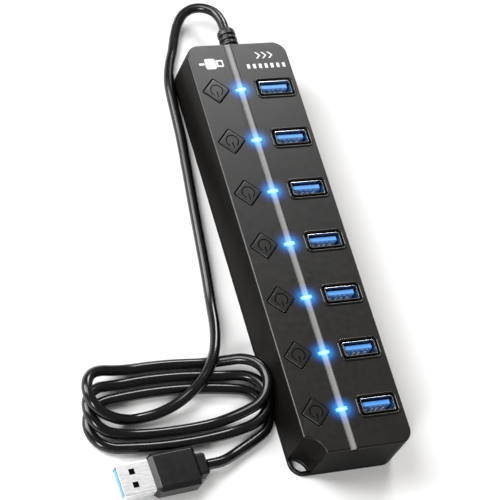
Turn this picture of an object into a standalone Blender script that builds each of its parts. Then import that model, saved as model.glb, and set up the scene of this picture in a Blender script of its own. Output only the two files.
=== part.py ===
"""A seven-port USB hub: each port has its own power button and its own indicator light.

The hub lies on its back. X runs across it, Y along it towards the cable, and Z up out of its face.
The origin is on the table, under the middle of the case. Every size is in metres.
"""

from math import acos, asin, ceil, cos, pi, radians, sin, sqrt

import bmesh
import bpy
from mathutils import Matrix, Vector

MM = 0.001

# Stations: one port, indicator and button side by side
STATIONS = 7
PITCH = 22.8 * MM
FIRST_STATION_FROM_END = 21.2 * MM
LAST_STATION_FROM_END = 16.0 * MM

# Case
CASE_LENGTH = FIRST_STATION_FROM_END + (STATIONS - 1) * PITCH + LAST_STATION_FROM_END
CASE_WIDTH = 42 * MM
CASE_HEIGHT = 20 * MM
CORNER_RADIUS = 5.5 * MM
FACE_EDGE = 0.6 * MM
SIDE_WALL = 1.8 * MM
FACE_WALL = 2.0 * MM
BACK_WALL = 1.6 * MM
SEAM = 0.3 * MM
LIP_WALL = 1.2 * MM
GAP = 0.3 * MM

# Lanyard corner: a quarter-round bite out of the case, with a thin loop left in the back cover
BITE_RADIUS = 7.0 * MM
LOOP_WIDTH = 1.5 * MM

# Port
RECEPTACLE_WIDTH = 13.1 * MM
RECEPTACLE_DEPTH = 5.72 * MM
RECEPTACLE_SHEET = 0.3 * MM
RECEPTACLE_RISE = 0.35 * MM
PORT_FROM_WALL = 1.45 * MM
PORT_X = CASE_WIDTH / 2 - SIDE_WALL - PORT_FROM_WALL - RECEPTACLE_WIDTH / 2
PORT_CLEARANCE = 0.25 * MM
BEZEL_RIM = 0.9 * MM
BEZEL_POCKET_SIDE = 0.9 * MM
BEZEL_POCKET_END = 0.84 * MM
BEZEL_WIDTH = RECEPTACLE_WIDTH + 2 * (BEZEL_POCKET_SIDE + BEZEL_RIM)
BEZEL_DEPTH = RECEPTACLE_DEPTH + 2 * (BEZEL_POCKET_END + BEZEL_RIM)
BEZEL_RADIUS = 2.2 * MM
BEZEL_RISE = 0.5 * MM
BEZEL_POCKET = 1.0 * MM
TONGUE_DEPTH = 1.84 * MM
TONGUE_SIDE_GAP = 0.7 * MM
TONGUE_BACK_GAP = 0.64 * MM
TONGUE_RECESS = 1.25 * MM
TONGUE_BASE = 3.2 * MM

# Power button: a diamond cap on a latching switch
BUTTON_SIDE = 7.8 * MM
BUTTON_FROM_WALL = 0.1 * MM
BUTTON_X = SIDE_WALL + BUTTON_FROM_WALL + BUTTON_SIDE / sqrt(2) - CASE_WIDTH / 2
BUTTON_RISE = 0.45 * MM
BUTTON_EDGE = 0.35 * MM
BUTTON_CLEARANCE = 0.25 * MM
BUTTON_FLANGE_MARGIN = 0.6 * MM
BUTTON_FLANGE_HEIGHT = 0.8 * MM
BUTTON_TRAVEL = 1.2 * MM
SWITCH_SIDE = 7.0 * MM
SWITCH_HEIGHT = 7.0 * MM
PLUNGER_SIDE = 3.3 * MM
PLUNGER_INSIDE = 3.4 * MM
SWITCH_FLOOR = 1.4 * MM

# Indicator light and the clear strip that joins the indicators
LIGHT_WIDTH = 4.8 * MM
LIGHT_DEPTH = 1.5 * MM
LIGHT_HEIGHT = 7.0 * MM
LIGHT_RISE = 0.1 * MM
LIGHT_FOOT = 0.8 * MM
LIGHT_FOOT_MARGIN = 0.3 * MM
LEAD_WIDTH = 0.5 * MM
LEAD_SPACING = 2.54 * MM
STRIP_WIDTH = 2.8 * MM
STRIP_SINK = 0.05 * MM
STRIP_END_DEPTH = 1.2 * MM
STRIP_FLANGE_MARGIN = 0.8 * MM
STRIP_FLANGE = 1.0 * MM
STRIP_CLEARANCE = 0.2 * MM
STRIP_FROM_BUTTON = 1.37 * MM
STRIP_FLANGE_WIDTH = LIGHT_WIDTH + 2 * (STRIP_CLEARANCE + STRIP_FLANGE_MARGIN)
LIGHT_X = BUTTON_X + BUTTON_SIDE / sqrt(2) + STRIP_FROM_BUTTON + STRIP_FLANGE_WIDTH / 2

# Circuit board
BOARD_HEIGHT = 4.2 * MM
BOARD_THICKNESS = 1.6 * MM
BOARD_SIDE_GAP = 0.7 * MM
BOARD_END_GAP = 9.2 * MM
CHIP_SIDE = 7.0 * MM
CHIP_HEIGHT = 0.9 * MM
CRYSTAL_SIZE = (4.8 * MM, 10.5 * MM, 3.4 * MM)
POST_RADIUS = 1.8 * MM

# Screws and the bosses that they go into
SCREW_HEAD_RADIUS = 2.0 * MM
SCREW_HEAD = 0.9 * MM
SCREW_RADIUS = 1.0 * MM
SCREW_LENGTH = 8.0 * MM
SCREW_SINK = 0.2 * MM
SCREW_SEAT = 1.4 * MM
SCREW_SLOT = 0.5 * MM
SCREW_FROM_SIDE = 5.2 * MM
SCREW_FROM_END = 6.6 * MM
BITE_SCREW_FROM_SIDE = 11.5 * MM
BOSS_RADIUS = 2.6 * MM
SEAT_BOSS_RADIUS = SCREW_FROM_SIDE - SIDE_WALL - GAP
SEAT_BOSS_HEIGHT = BACK_WALL + 1.0 * MM

# Cable and its strain relief
CORD_DIAMETER = 4.0 * MM
EXIT_X = 2.6 * MM
EXIT_Z = 10.5 * MM
RELIEF_RADIUS = 3.6 * MM
RELIEF_NECK_RADIUS = 2.9 * MM
RELIEF_LENGTH = 12.8 * MM
RELIEF_CAP = 3.4 * MM
RELIEF_TIP_RADIUS = 2.7 * MM
RELIEF_RIBS = 3
RELIEF_GROOVE = 1.1 * MM
RELIEF_FLANGE_RADIUS = 4.6 * MM
RELIEF_FLANGE = 1.4 * MM

# Route of the cable's middle line from the strain relief down to the table and over the coil
CORD_STEP = 6.0 * MM
LEAD_ROUTE = (
    (2.6, 100.1, 10.5),
    (2.5, 104.6, 10.2),
    (1.2, 109.2, 9.3),
    (-2.1, 112.4, 8.0),
    (-6.4, 113.5, 6.4),
    (-10.4, 111.9, 4.9),
    (-13.3, 108.2, 3.7),
    (-15.6, 103.2, 2.8),
    (-18.0, 96.8, 2.2),
    (-21.0, 90.2, 2.1),
    (-23.4, 82.0, 2.1),
    (-24.3, 72.0, 2.1),
    (-25.1, 58.0, 2.1),
    (-26.6, 43.0, 2.1),
    (-28.2, 28.0, 2.1),
    (-29.7, 13.0, 2.1),
    (-31.2, -2.0, 2.1),
    (-32.9, -15.0, 2.4),
    (-35.3, -27.0, 4.6),
    (-39.2, -37.4, 6.6),
    (-44.4, -45.0, 6.7),
    (-50.6, -50.6, 6.5),
    (-57.6, -54.4, 4.2),
    (-65.4, -56.6, 2.5),
    (-73.6, -57.5, 2.2),
)

# Coil of three loose turns beside the case, as the block that holds them
COIL_LOW = (-93.7 * MM, -70.5 * MM)
COIL_HIGH = (-21.4 * MM, -36.3 * MM)
COIL_HOLE_LOW = (-88.0 * MM, -61.3 * MM)
COIL_HOLE_HIGH = (-28.0 * MM, -50.6 * MM)
COIL_CORNER = 12.0 * MM
COIL_HOLE_CORNER = 4.8 * MM
COIL_HEIGHT = 4.1 * MM
TABLE_GAP = 0.1 * MM

# Route from the coil to the plug
TAIL_ROUTE = (
    (-33.4, -73.0, 2.1),
    (-40.0, -75.4, 2.4),
    (-46.7, -78.3, 3.8),
    (-53.1, -79.1, 4.3),
)

# Plug
PLUG_PLACE = (-86.8 * MM, -81.5 * MM, 4.3 * MM)
PLUG_HEADING = radians(184)
PLUG_WIDTH = 12.0 * MM
PLUG_THICKNESS = 4.5 * MM
PLUG_SHEET = 0.3 * MM
PLUG_EXPOSED = 12.0 * MM
PLUG_SOCKET = 2.5 * MM
PLUG_WINDOW = 2.2 * MM
PLUG_WINDOW_SPACING = 5.0 * MM
PLUG_WINDOW_FROM_MOUTH = 5.2 * MM
INSERT_THICKNESS = 1.9 * MM
INSERT_SET_BACK = 0.4 * MM
GRIP_LENGTH = 18.0 * MM
GRIP_SIDE_WALL = 1.5 * MM
GRIP_TOP_WALL = 1.85 * MM
GRIP_CHAMFER = 1.5 * MM
GRIP_NECK_LENGTH = 3.4 * MM
GRIP_NECK_WIDTH = 8.4 * MM
GRIP_NECK_HEIGHT = 6.2 * MM

# Levels that several pieces share
BOARD_TOP = BOARD_HEIGHT + BOARD_THICKNESS
FACE_UNDERSIDE = CASE_HEIGHT - FACE_WALL
PARTS_FLOOR = BOARD_TOP + GAP
MATERIALS = {
    "case": ((0.022, 0.022, 0.023), 0.38, 0.0),
    "button": ((0.020, 0.020, 0.021), 0.35, 0.0),
    "switch": ((0.03, 0.03, 0.03), 0.5, 0.0),
    "plunger": ((0.75, 0.75, 0.72), 0.45, 0.0),
    "steel": ((0.75, 0.76, 0.78), 0.22, 1.0),
    "tongue": ((0.10, 0.30, 0.85), 0.35, 0.0),
    "light": ((0.45, 0.85, 1.0), 0.2, 0.0),
    "strip": ((0.50, 0.51, 0.53), 0.35, 0.0),
    "board": ((0.02, 0.16, 0.06), 0.5, 0.0),
    "chip": ((0.015, 0.015, 0.015), 0.45, 0.0),
    "screw": ((0.25, 0.25, 0.26), 0.35, 1.0),
    "cord": ((0.012, 0.012, 0.012), 0.35, 0.0),
    "insert": ((0.04, 0.25, 0.75), 0.35, 0.0),
}


# ---- Making and joining solids ----


def clear_scene():
    """Removes whatever the file opened with."""
    for old in list(bpy.data.objects):
        bpy.data.objects.remove(old, do_unlink=True)


def material(slot):
    """Returns the material of a slot, made the first time that it is asked for."""
    found = bpy.data.materials.get(slot)
    if found:
        return found
    colour, roughness, metallic = MATERIALS[slot]
    made = bpy.data.materials.new(slot)
    made.use_nodes = True
    shader = made.node_tree.nodes["Principled BSDF"]
    shader.inputs["Base Color"].default_value = (*colour, 1.0)
    shader.inputs["Roughness"].default_value = roughness
    shader.inputs["Metallic"].default_value = metallic
    return made


def add_object(name, data, slot=None, place=(0, 0, 0), parent=None):
    """Puts a mesh or curve into the hub's collection."""
    made = bpy.data.objects.new(name, data)
    made.location = place
    made.parent = parent
    if slot and not data.materials:
        data.materials.append(material(slot))
    bpy.data.collections["usb_hub"].objects.link(made)
    return made


def evaluated_mesh(source):
    """Returns the mesh that an object's curve or modifiers make, welded and facing out."""
    bpy.context.view_layer.update()
    depsgraph = bpy.context.evaluated_depsgraph_get()
    mesh = bpy.data.meshes.new_from_object(source.evaluated_get(depsgraph))
    shape = bmesh.new()
    shape.from_mesh(mesh)
    bmesh.ops.remove_doubles(shape, verts=shape.verts, dist=0.001 * MM)
    bmesh.ops.recalc_face_normals(shape, faces=shape.faces)
    shape.to_mesh(mesh)
    shape.free()
    return mesh


def box(name, size, slot, place=(0, 0, 0), parent=None):
    """Makes a block about its own middle."""
    shape = bmesh.new()
    bmesh.ops.create_cube(shape, size=1.0)
    bmesh.ops.scale(shape, vec=size, verts=shape.verts)
    mesh = bpy.data.meshes.new(name)
    shape.to_mesh(mesh)
    shape.free()
    return add_object(name, mesh, slot, place, parent)


def cylinder(name, radius, height, slot, place=(0, 0, 0), sides=20):
    """Makes an upright cylinder about its own middle."""
    shape = bmesh.new()
    bmesh.ops.create_cone(
        shape, cap_ends=True, segments=sides, radius1=radius, radius2=radius, depth=height
    )
    mesh = bpy.data.meshes.new(name)
    shape.to_mesh(mesh)
    shape.free()
    return add_object(name, mesh, slot, place)


def plate(name, outlines, low, high, slot, place=(0, 0)):
    """Makes a flat piece between two levels from closed outlines; an outline inside another is a hole."""
    curve = bpy.data.curves.new(name, "CURVE")
    curve.dimensions = "2D"
    curve.fill_mode = "BOTH"
    curve.extrude = (high - low) / 2
    for outline in outlines:
        spline = curve.splines.new("POLY")
        spline.points.add(len(outline) - 1)
        spline.use_cyclic_u = True
        for point, (x, y) in zip(spline.points, outline):
            point.co = (x, y, 0, 1)
    source = add_object(name + "_outline", curve, slot)
    mesh = evaluated_mesh(source)
    bpy.data.objects.remove(source, do_unlink=True)
    return add_object(name, mesh, slot, (place[0], place[1], (low + high) / 2))


def turned(name, profile, slot, place, turn=None, steps=24):
    """Makes a turned piece from (radius, height) points that run down its outer side from axis to axis."""
    mesh = bpy.data.meshes.new(name)
    edges = [(i, i + 1) for i in range(len(profile) - 1)]
    mesh.from_pydata([(radius, 0, height) for radius, height in profile], edges, [])
    made = add_object(name, mesh, slot, place)
    screw = made.modifiers.new("Screw", "SCREW")
    screw.steps = steps
    screw.render_steps = steps
    screw.use_merge_vertices = True
    screw.merge_threshold = 0.01 * MM
    made.data = evaluated_mesh(made)
    made.modifiers.clear()
    if turn:
        made.rotation_euler = turn
    return made


def combine(target, tool, operation):
    """Joins a solid to another or cuts it away, and removes the tool."""
    modifier = target.modifiers.new(operation, "BOOLEAN")
    modifier.operation = operation
    modifier.solver = "EXACT"
    modifier.object = tool
    target.data = evaluated_mesh(target)
    target.modifiers.clear()
    bpy.data.objects.remove(tool, do_unlink=True)


def soften(target, width, segments, is_chosen):
    """Bevels the sharp edges whose two ends both pass a test."""
    shape = bmesh.new()
    shape.from_mesh(target.data)
    chosen = [
        edge
        for edge in shape.edges
        if edge.calc_face_angle(0) > radians(40) and all(is_chosen(vert.co) for vert in edge.verts)
    ]
    bmesh.ops.bevel(shape, geom=chosen, offset=width, segments=segments, profile=0.5, affect="EDGES")
    shape.to_mesh(target.data)
    shape.free()


def soften_top(target, width, segments=2):
    """Rounds the edge round a plate's upper face."""
    top = max(vert.co.z for vert in target.data.vertices)
    soften(target, width, segments, lambda point: point.z > top - 0.001 * MM)


# ---- Outlines ----


def arc(centre, radius, start, end, steps):
    """Returns points round an arc, with its angles in radians."""
    angles = [start + (end - start) * i / steps for i in range(steps + 1)]
    return [(centre[0] + radius * cos(a), centre[1] + radius * sin(a)) for a in angles]


def rounded_rectangle(width, depth, radius, centre=(0, 0), steps=4):
    """Returns the outline of a rectangle with round corners."""
    points = []
    for quarter, (side_x, side_y) in enumerate(((1, 1), (-1, 1), (-1, -1), (1, -1))):
        middle = (
            centre[0] + side_x * (width / 2 - radius),
            centre[1] + side_y * (depth / 2 - radius),
        )
        points += arc(middle, radius, quarter * pi / 2, (quarter + 1) * pi / 2, steps)
    return points


def diamond(side, radius, centre=(0, 0), steps=3):
    """Returns the outline of a square that stands on its corner."""
    square = rounded_rectangle(side, side, radius, steps=steps)
    c = cos(pi / 4)
    return [(centre[0] + c * (x - y), centre[1] + c * (x + y)) for x, y in square]


def bitten_outline(inset):
    """Returns the case's outline, moved in by inset, with the lanyard corner bitten out of it."""
    half_width = CASE_WIDTH / 2 - inset
    half_length = CASE_LENGTH / 2 - inset
    radius = max(CORNER_RADIUS - inset, 0.5 * MM)
    points = []
    for side_x, side_y, start in ((1, -1, -pi / 2), (1, 1, 0), (-1, 1, pi / 2)):
        middle = (side_x * (half_width - radius), side_y * (half_length - radius))
        points += arc(middle, radius, start, start + pi / 2, 6)
    bite = BITE_RADIUS + inset
    corner = (-CASE_WIDTH / 2, -CASE_LENGTH / 2)
    return points + arc(corner, bite, acos(inset / bite), asin(inset / bite), 10)


def loop_hole_outline():
    """Returns the hole through the lanyard loop: the bite, less the loop's own width."""
    corner = Vector((-CASE_WIDTH / 2, -CASE_LENGTH / 2))
    rim = CORNER_RADIUS - LOOP_WIDTH
    middle = corner + Vector((CORNER_RADIUS, CORNER_RADIUS))
    edge = asin(LOOP_WIDTH / BITE_RADIUS)
    return arc(corner, BITE_RADIUS, edge, pi / 2 - edge, 8) + arc(middle, rim, pi, 1.5 * pi, 6)


def station_y(station):
    """Returns how far along the case a station is, counted from the cable end."""
    return CASE_LENGTH / 2 - FIRST_STATION_FROM_END - station * PITCH


def at_stations(x):
    """Returns the middle of a feature that every station has."""
    return [(x, station_y(station)) for station in range(STATIONS)]


def screw_places():
    """Returns the four screws' places; the one beside the lanyard corner is moved inwards."""
    x = CASE_WIDTH / 2 - SCREW_FROM_SIDE
    y = CASE_LENGTH / 2 - SCREW_FROM_END
    return [(x, y), (-x, y), (x, -y), (BITE_SCREW_FROM_SIDE - CASE_WIDTH / 2, -y)]


# ---- Case ----


def make_front_shell():
    """Makes the deep front half of the case: its face, its four sides and its screw bosses."""
    low = BACK_WALL + SEAM
    shell = plate("front_shell", [bitten_outline(0)], low, CASE_HEIGHT, "case")
    soften_top(shell, FACE_EDGE)
    inside = plate("inside", [bitten_outline(SIDE_WALL)], low - MM, FACE_UNDERSIDE, "case")
    combine(shell, inside, "DIFFERENCE")
    add_bezels(shell)
    add_bosses(shell)
    cut_ports(shell)
    cut_buttons(shell)
    cut_light_slot(shell)
    cut_cable_hole(shell)
    return shell


def add_bezels(shell):
    """Adds the raised rim round each port."""
    outer = [rounded_rectangle(BEZEL_WIDTH, BEZEL_DEPTH, BEZEL_RADIUS, c) for c in at_stations(PORT_X)]
    inner_size = (BEZEL_WIDTH - 2 * BEZEL_RIM, BEZEL_DEPTH - 2 * BEZEL_RIM)
    inner_radius = BEZEL_RADIUS - BEZEL_RIM
    inner = [rounded_rectangle(*inner_size, inner_radius, c) for c in at_stations(PORT_X)]
    top = CASE_HEIGHT + BEZEL_RISE
    rims = plate("bezels", outer + inner, CASE_HEIGHT - FACE_WALL / 2, top, "case")
    soften_top(rims, BEZEL_RIM / 3)
    combine(shell, rims, "UNION")
    pockets = plate("pockets", inner, CASE_HEIGHT - BEZEL_POCKET, top + MM, "case")
    combine(shell, pockets, "DIFFERENCE")


def add_bosses(shell):
    """Adds the screw bosses under the face and drills them."""
    low = SEAT_BOSS_HEIGHT + GAP
    high = CASE_HEIGHT - FACE_WALL / 2
    for place in screw_places():
        centre = (*place, (low + high) / 2)
        combine(shell, cylinder("boss", BOSS_RADIUS, high - low, "case", centre), "UNION")
    depth = SCREW_SEAT + SCREW_LENGTH + MM
    for place in screw_places():
        centre = (*place, low + depth / 2 - MM)
        hole = cylinder("boss_hole", SCREW_RADIUS + GAP, depth, "case", centre)
        combine(shell, hole, "DIFFERENCE")


def cut_ports(shell):
    """Cuts the hole that each receptacle comes up through."""
    width = RECEPTACLE_WIDTH + 2 * PORT_CLEARANCE
    depth = RECEPTACLE_DEPTH + 2 * PORT_CLEARANCE
    holes = [rounded_rectangle(width, depth, 0.6 * MM, c, 2) for c in at_stations(PORT_X)]
    low = FACE_UNDERSIDE - MM
    combine(shell, plate("port_holes", holes, low, CASE_HEIGHT + 2 * MM, "case"), "DIFFERENCE")


def cut_buttons(shell):
    """Cuts the diamond hole of each button."""
    side = BUTTON_SIDE + 2 * BUTTON_CLEARANCE
    holes = [diamond(side, 0.6 * MM, c) for c in at_stations(BUTTON_X)]
    low = FACE_UNDERSIDE - 0.5 * MM
    combine(shell, plate("button_holes", holes, low, CASE_HEIGHT + MM, "case"), "DIFFERENCE")


def cut_light_slot(shell):
    """Cuts the slot for the clear strip, its shallow ends, and the wider hole of each indicator."""
    slot_width = STRIP_WIDTH + 2 * STRIP_CLEARANCE
    inside_length = CASE_LENGTH - 2 * SIDE_WALL
    height = FACE_WALL + 2 * MM
    size = (slot_width, inside_length, height)
    slot = box("slot", size, "case", (LIGHT_X, 0, CASE_HEIGHT))
    combine(shell, slot, "DIFFERENCE")
    low = CASE_HEIGHT - STRIP_SINK - STRIP_END_DEPTH - GAP
    size = (slot_width, CASE_LENGTH + MM, 2 * (CASE_HEIGHT - low))
    combine(shell, box("ends", size, "case", (LIGHT_X, 0, CASE_HEIGHT)), "DIFFERENCE")
    width = LIGHT_WIDTH + 2 * STRIP_CLEARANCE
    depth = LIGHT_DEPTH + 2 * STRIP_CLEARANCE
    holes = [rounded_rectangle(width, depth, 0.3 * MM, c, 1) for c in at_stations(LIGHT_X)]
    low = FACE_UNDERSIDE - MM
    combine(shell, plate("light_holes", holes, low, CASE_HEIGHT + MM, "case"), "DIFFERENCE")


def cut_cable_hole(shell):
    """Cuts the hole that the strain relief goes through."""
    place = (EXIT_X, CASE_LENGTH / 2, EXIT_Z)
    hole = cylinder("cable_hole", RELIEF_NECK_RADIUS + GAP, 4 * SIDE_WALL, "case", place)
    hole.rotation_euler = (pi / 2, 0, 0)
    combine(shell, hole, "DIFFERENCE")


def make_back_cover():
    """Makes the flat back, with the lanyard loop, locating lip, board posts and screw seats."""
    outline = rounded_rectangle(CASE_WIDTH, CASE_LENGTH, CORNER_RADIUS, steps=6)
    cover = plate("back_cover", [outline, loop_hole_outline()], 0, BACK_WALL, "case")
    outer = SIDE_WALL + GAP
    lip = [bitten_outline(outer), bitten_outline(outer + LIP_WALL)]
    combine(cover, plate("lip", lip, BACK_WALL / 2, SEAT_BOSS_HEIGHT, "case"), "UNION")
    for place in screw_places():
        centre = (*place, SEAT_BOSS_HEIGHT - 1.0 * MM)
        seat = cylinder("seat", SEAT_BOSS_RADIUS, 2.0 * MM, "case", centre)
        combine(cover, seat, "UNION")
    post_top = BOARD_HEIGHT - GAP
    for place in post_places():
        centre = (*place, (BACK_WALL / 2 + post_top) / 2)
        post = cylinder("post", POST_RADIUS, post_top - BACK_WALL / 2, "case", centre, 12)
        combine(cover, post, "UNION")
    drill_screws(cover)
    return cover


def post_places():
    """Returns the places of the six posts that the board rests on."""
    x = CASE_WIDTH / 2 - SIDE_WALL - BOARD_SIDE_GAP - 2 * POST_RADIUS
    y = board_length() / 2 - 2 * POST_RADIUS
    return [(side * x, end * y) for side in (-1, 1) for end in (-1, 0, 1)]


def drill_screws(cover):
    """Cuts each screw's hole and the recess for its head."""
    hole = SEAT_BOSS_HEIGHT + 2 * MM
    for place in screw_places():
        shaft = cylinder("shaft", SCREW_RADIUS + GAP, hole, "case", (*place, SEAT_BOSS_HEIGHT / 2))
        combine(cover, shaft, "DIFFERENCE")
        head = cylinder("head", SCREW_HEAD_RADIUS + GAP, 2 * SCREW_SEAT, "case", (*place, 0))
        combine(cover, head, "DIFFERENCE")


def make_screws():
    """Makes the cross-head screws that hold the back on."""
    head_top = SCREW_SEAT - SCREW_SINK
    slot_size = (SCREW_SLOT, 1.3 * SCREW_HEAD_RADIUS, SCREW_HEAD)
    for number, place in enumerate(screw_places(), 1):
        tip = head_top + SCREW_LENGTH
        profile = (
            (0, tip),
            (0.4 * SCREW_RADIUS, tip),
            (SCREW_RADIUS, tip - 1.5 * SCREW_RADIUS),
            (SCREW_RADIUS, head_top),
            (SCREW_HEAD_RADIUS, head_top),
            (SCREW_HEAD_RADIUS, head_top - SCREW_HEAD),
            (0, head_top - SCREW_HEAD),
        )
        screw = turned(f"screw_{number}", profile, "screw", (*place, 0))
        low = (*place, head_top - SCREW_HEAD)
        combine(screw, box("slot_x", slot_size, "screw", low), "DIFFERENCE")
        across = (slot_size[1], slot_size[0], slot_size[2])
        combine(screw, box("slot_y", across, "screw", low), "DIFFERENCE")


# ---- Stations ----


def repeat_at_stations(first, name, x):
    """Places a copy of the first station's piece at every station, on the same mesh."""
    mesh = first.data
    height = first.location.z
    bpy.data.objects.remove(first, do_unlink=True)
    for number, (place_x, place_y) in enumerate(at_stations(x), 1):
        add_object(f"{name}_{number}", mesh, place=(place_x, place_y, height))


def make_receptacles():
    """Makes the folded steel shell of each port."""
    inner_width = RECEPTACLE_WIDTH - 2 * RECEPTACLE_SHEET
    inner_depth = RECEPTACLE_DEPTH - 2 * RECEPTACLE_SHEET
    outlines = [
        rounded_rectangle(RECEPTACLE_WIDTH, RECEPTACLE_DEPTH, 0.6 * MM, steps=2),
        rounded_rectangle(inner_width, inner_depth, 0.3 * MM, steps=2),
    ]
    shell = plate("port_shell", outlines, PARTS_FLOOR, CASE_HEIGHT + RECEPTACLE_RISE, "steel")
    repeat_at_stations(shell, "port_shell", PORT_X)


def make_tongues():
    """Makes the blue insulator of each port: a base block and the tongue that carries the contacts."""
    margin = 2 * (RECEPTACLE_SHEET + GAP)
    base_size = (RECEPTACLE_WIDTH - margin, RECEPTACLE_DEPTH - margin, TONGUE_BASE)
    base = box("port_tongue", base_size, "tongue", (0, 0, PARTS_FLOOR + TONGUE_BASE / 2))
    tip = CASE_HEIGHT + RECEPTACLE_RISE - TONGUE_RECESS
    height = tip - PARTS_FLOOR - TONGUE_BASE / 2
    width = RECEPTACLE_WIDTH - 2 * (RECEPTACLE_SHEET + TONGUE_SIDE_GAP)
    back = RECEPTACLE_DEPTH / 2 - RECEPTACLE_SHEET - TONGUE_BACK_GAP
    middle = (0, back - TONGUE_DEPTH / 2, tip - height / 2)
    combine(base, box("tongue", (width, TONGUE_DEPTH, height), "tongue", middle), "UNION")
    repeat_at_stations(base, "port_tongue", PORT_X)


def make_buttons():
    """Makes the diamond caps, each with the square flange that keeps it in the case."""
    top = CASE_HEIGHT + BUTTON_RISE
    low = FACE_UNDERSIDE - GAP - BUTTON_FLANGE_HEIGHT
    cap = plate("power_button", [diamond(BUTTON_SIDE, 0.5 * MM)], low, top, "button")
    soften_top(cap, BUTTON_EDGE)
    side = BUTTON_SIDE + 2 * BUTTON_FLANGE_MARGIN
    size = (side, side, BUTTON_FLANGE_HEIGHT)
    flange = box("flange", size, "button", (0, 0, low + BUTTON_FLANGE_HEIGHT / 2))
    combine(cap, flange, "UNION")
    repeat_at_stations(cap, "power_button", BUTTON_X)


def make_plungers():
    """Makes the plunger under each cap, which slides in the switch."""
    high = FACE_UNDERSIDE - BUTTON_FLANGE_HEIGHT - 2 * GAP
    low = PARTS_FLOOR + SWITCH_HEIGHT - PLUNGER_INSIDE
    size = (PLUNGER_SIDE, PLUNGER_SIDE, high - low)
    plunger = box("switch_plunger", size, "plunger", (0, 0, (low + high) / 2))
    repeat_at_stations(plunger, "switch_plunger", BUTTON_X)


def make_switches():
    """Makes the latching switches, hollow so that the plunger has room to travel."""
    middle = PARTS_FLOOR + SWITCH_HEIGHT / 2
    body = box("switch_body", (SWITCH_SIDE, SWITCH_SIDE, SWITCH_HEIGHT), "switch", (0, 0, middle))
    bore_side = PLUNGER_SIDE + 2 * GAP
    bore_low = PARTS_FLOOR + SWITCH_FLOOR
    bore_high = PARTS_FLOOR + SWITCH_HEIGHT + MM
    bore_size = (bore_side, bore_side, bore_high - bore_low)
    bore = box("bore", bore_size, "switch", (0, 0, (bore_low + bore_high) / 2))
    combine(body, bore, "DIFFERENCE")
    repeat_at_stations(body, "switch_body", BUTTON_X)


def make_lights():
    """Makes the rectangular indicators, each with a foot and two leads down to the board."""
    top = CASE_HEIGHT + LIGHT_RISE
    low = top - LIGHT_HEIGHT
    size = (LIGHT_WIDTH, LIGHT_DEPTH, LIGHT_HEIGHT)
    light = box("indicator", size, "light", (0, 0, top - LIGHT_HEIGHT / 2))
    foot_width = LIGHT_WIDTH + 2 * LIGHT_FOOT_MARGIN
    foot_size = (foot_width, LIGHT_DEPTH + 2 * LIGHT_FOOT_MARGIN, LIGHT_FOOT)
    combine(light, box("foot", foot_size, "light", (0, 0, low)), "UNION")
    lead_height = low - PARTS_FLOOR
    for side in (-1, 1):
        place = (side * LEAD_SPACING / 2, 0, PARTS_FLOOR + lead_height / 2)
        lead = box("lead", (LEAD_WIDTH, LEAD_WIDTH, lead_height), "light", place)
        combine(light, lead, "UNION")
    repeat_at_stations(light, "indicator", LIGHT_X)


def make_light_strip():
    """Makes the clear strip: a rib in the face's slot on a flange behind it, open at each indicator."""
    top = CASE_HEIGHT - STRIP_SINK
    size = (STRIP_WIDTH, CASE_LENGTH - 2 * GAP, STRIP_END_DEPTH)
    strip = box("light_strip", size, "strip", (LIGHT_X, 0, top - STRIP_END_DEPTH / 2))
    inside_length = CASE_LENGTH - 2 * SIDE_WALL - 2 * GAP
    low = FACE_UNDERSIDE - GAP - STRIP_FLANGE
    high = top - STRIP_END_DEPTH / 2
    rib_size = (STRIP_WIDTH, inside_length, high - low)
    combine(strip, box("rib", rib_size, "strip", (LIGHT_X, 0, (high + low) / 2)), "UNION")
    flange_size = (STRIP_FLANGE_WIDTH, inside_length, STRIP_FLANGE)
    flange = box("strip_flange", flange_size, "strip", (LIGHT_X, 0, low + STRIP_FLANGE / 2))
    combine(strip, flange, "UNION")
    width = LIGHT_WIDTH + 2 * STRIP_CLEARANCE
    depth = LIGHT_DEPTH + 2 * STRIP_CLEARANCE
    holes = [rounded_rectangle(width, depth, 0.3 * MM, c, 1) for c in at_stations(LIGHT_X)]
    combine(strip, plate("holes", holes, low - MM, CASE_HEIGHT + MM, "strip"), "DIFFERENCE")


# ---- Circuit board ----


def board_length():
    """Returns the board's length, short of the screws at both ends."""
    return CASE_LENGTH - 2 * (SIDE_WALL + BOARD_END_GAP)


def make_board():
    """Makes the circuit board."""
    width = CASE_WIDTH - 2 * (SIDE_WALL + BOARD_SIDE_GAP)
    size = (width, board_length(), BOARD_THICKNESS)
    box("circuit_board", size, "board", (0, 0, BOARD_HEIGHT + BOARD_THICKNESS / 2))


def make_chips():
    """Makes the two hub controllers and the crystal, each between two indicators' leads."""
    for number, station in enumerate((1, 4), 1):
        y = (station_y(station) + station_y(station + 1)) / 2
        place = (LIGHT_X, y, PARTS_FLOOR + CHIP_HEIGHT / 2)
        box(f"hub_controller_{number}", (CHIP_SIDE, CHIP_SIDE, CHIP_HEIGHT), "chip", place)
    y = (station_y(2) + station_y(3)) / 2
    place = (LIGHT_X, y, PARTS_FLOOR + CRYSTAL_SIZE[2] / 2)
    crystal = box("crystal", CRYSTAL_SIZE, "steel", place)
    soften(crystal, 1.2 * MM, 2, lambda point: True)


# ---- Cable ----


def smooth_route(points, step):
    """Returns points about a step apart on a Catmull-Rom curve through a route's own points."""
    knots = [Vector(point) * MM for point in points]
    knots = [2 * knots[0] - knots[1]] + knots + [2 * knots[-1] - knots[-2]]
    route = []
    for a, b, c, d in zip(knots, knots[1:], knots[2:], knots[3:]):
        pieces = max(1, ceil((c - b).length / step))
        for i in range(pieces):
            t = i / pieces
            bend = (2 * a - 5 * b + 4 * c - d) * t * t + (3 * b - a - 3 * c + d) * t * t * t
            route.append(b + 0.5 * ((c - a) * t + bend))
    return route + [knots[-2]]


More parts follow.
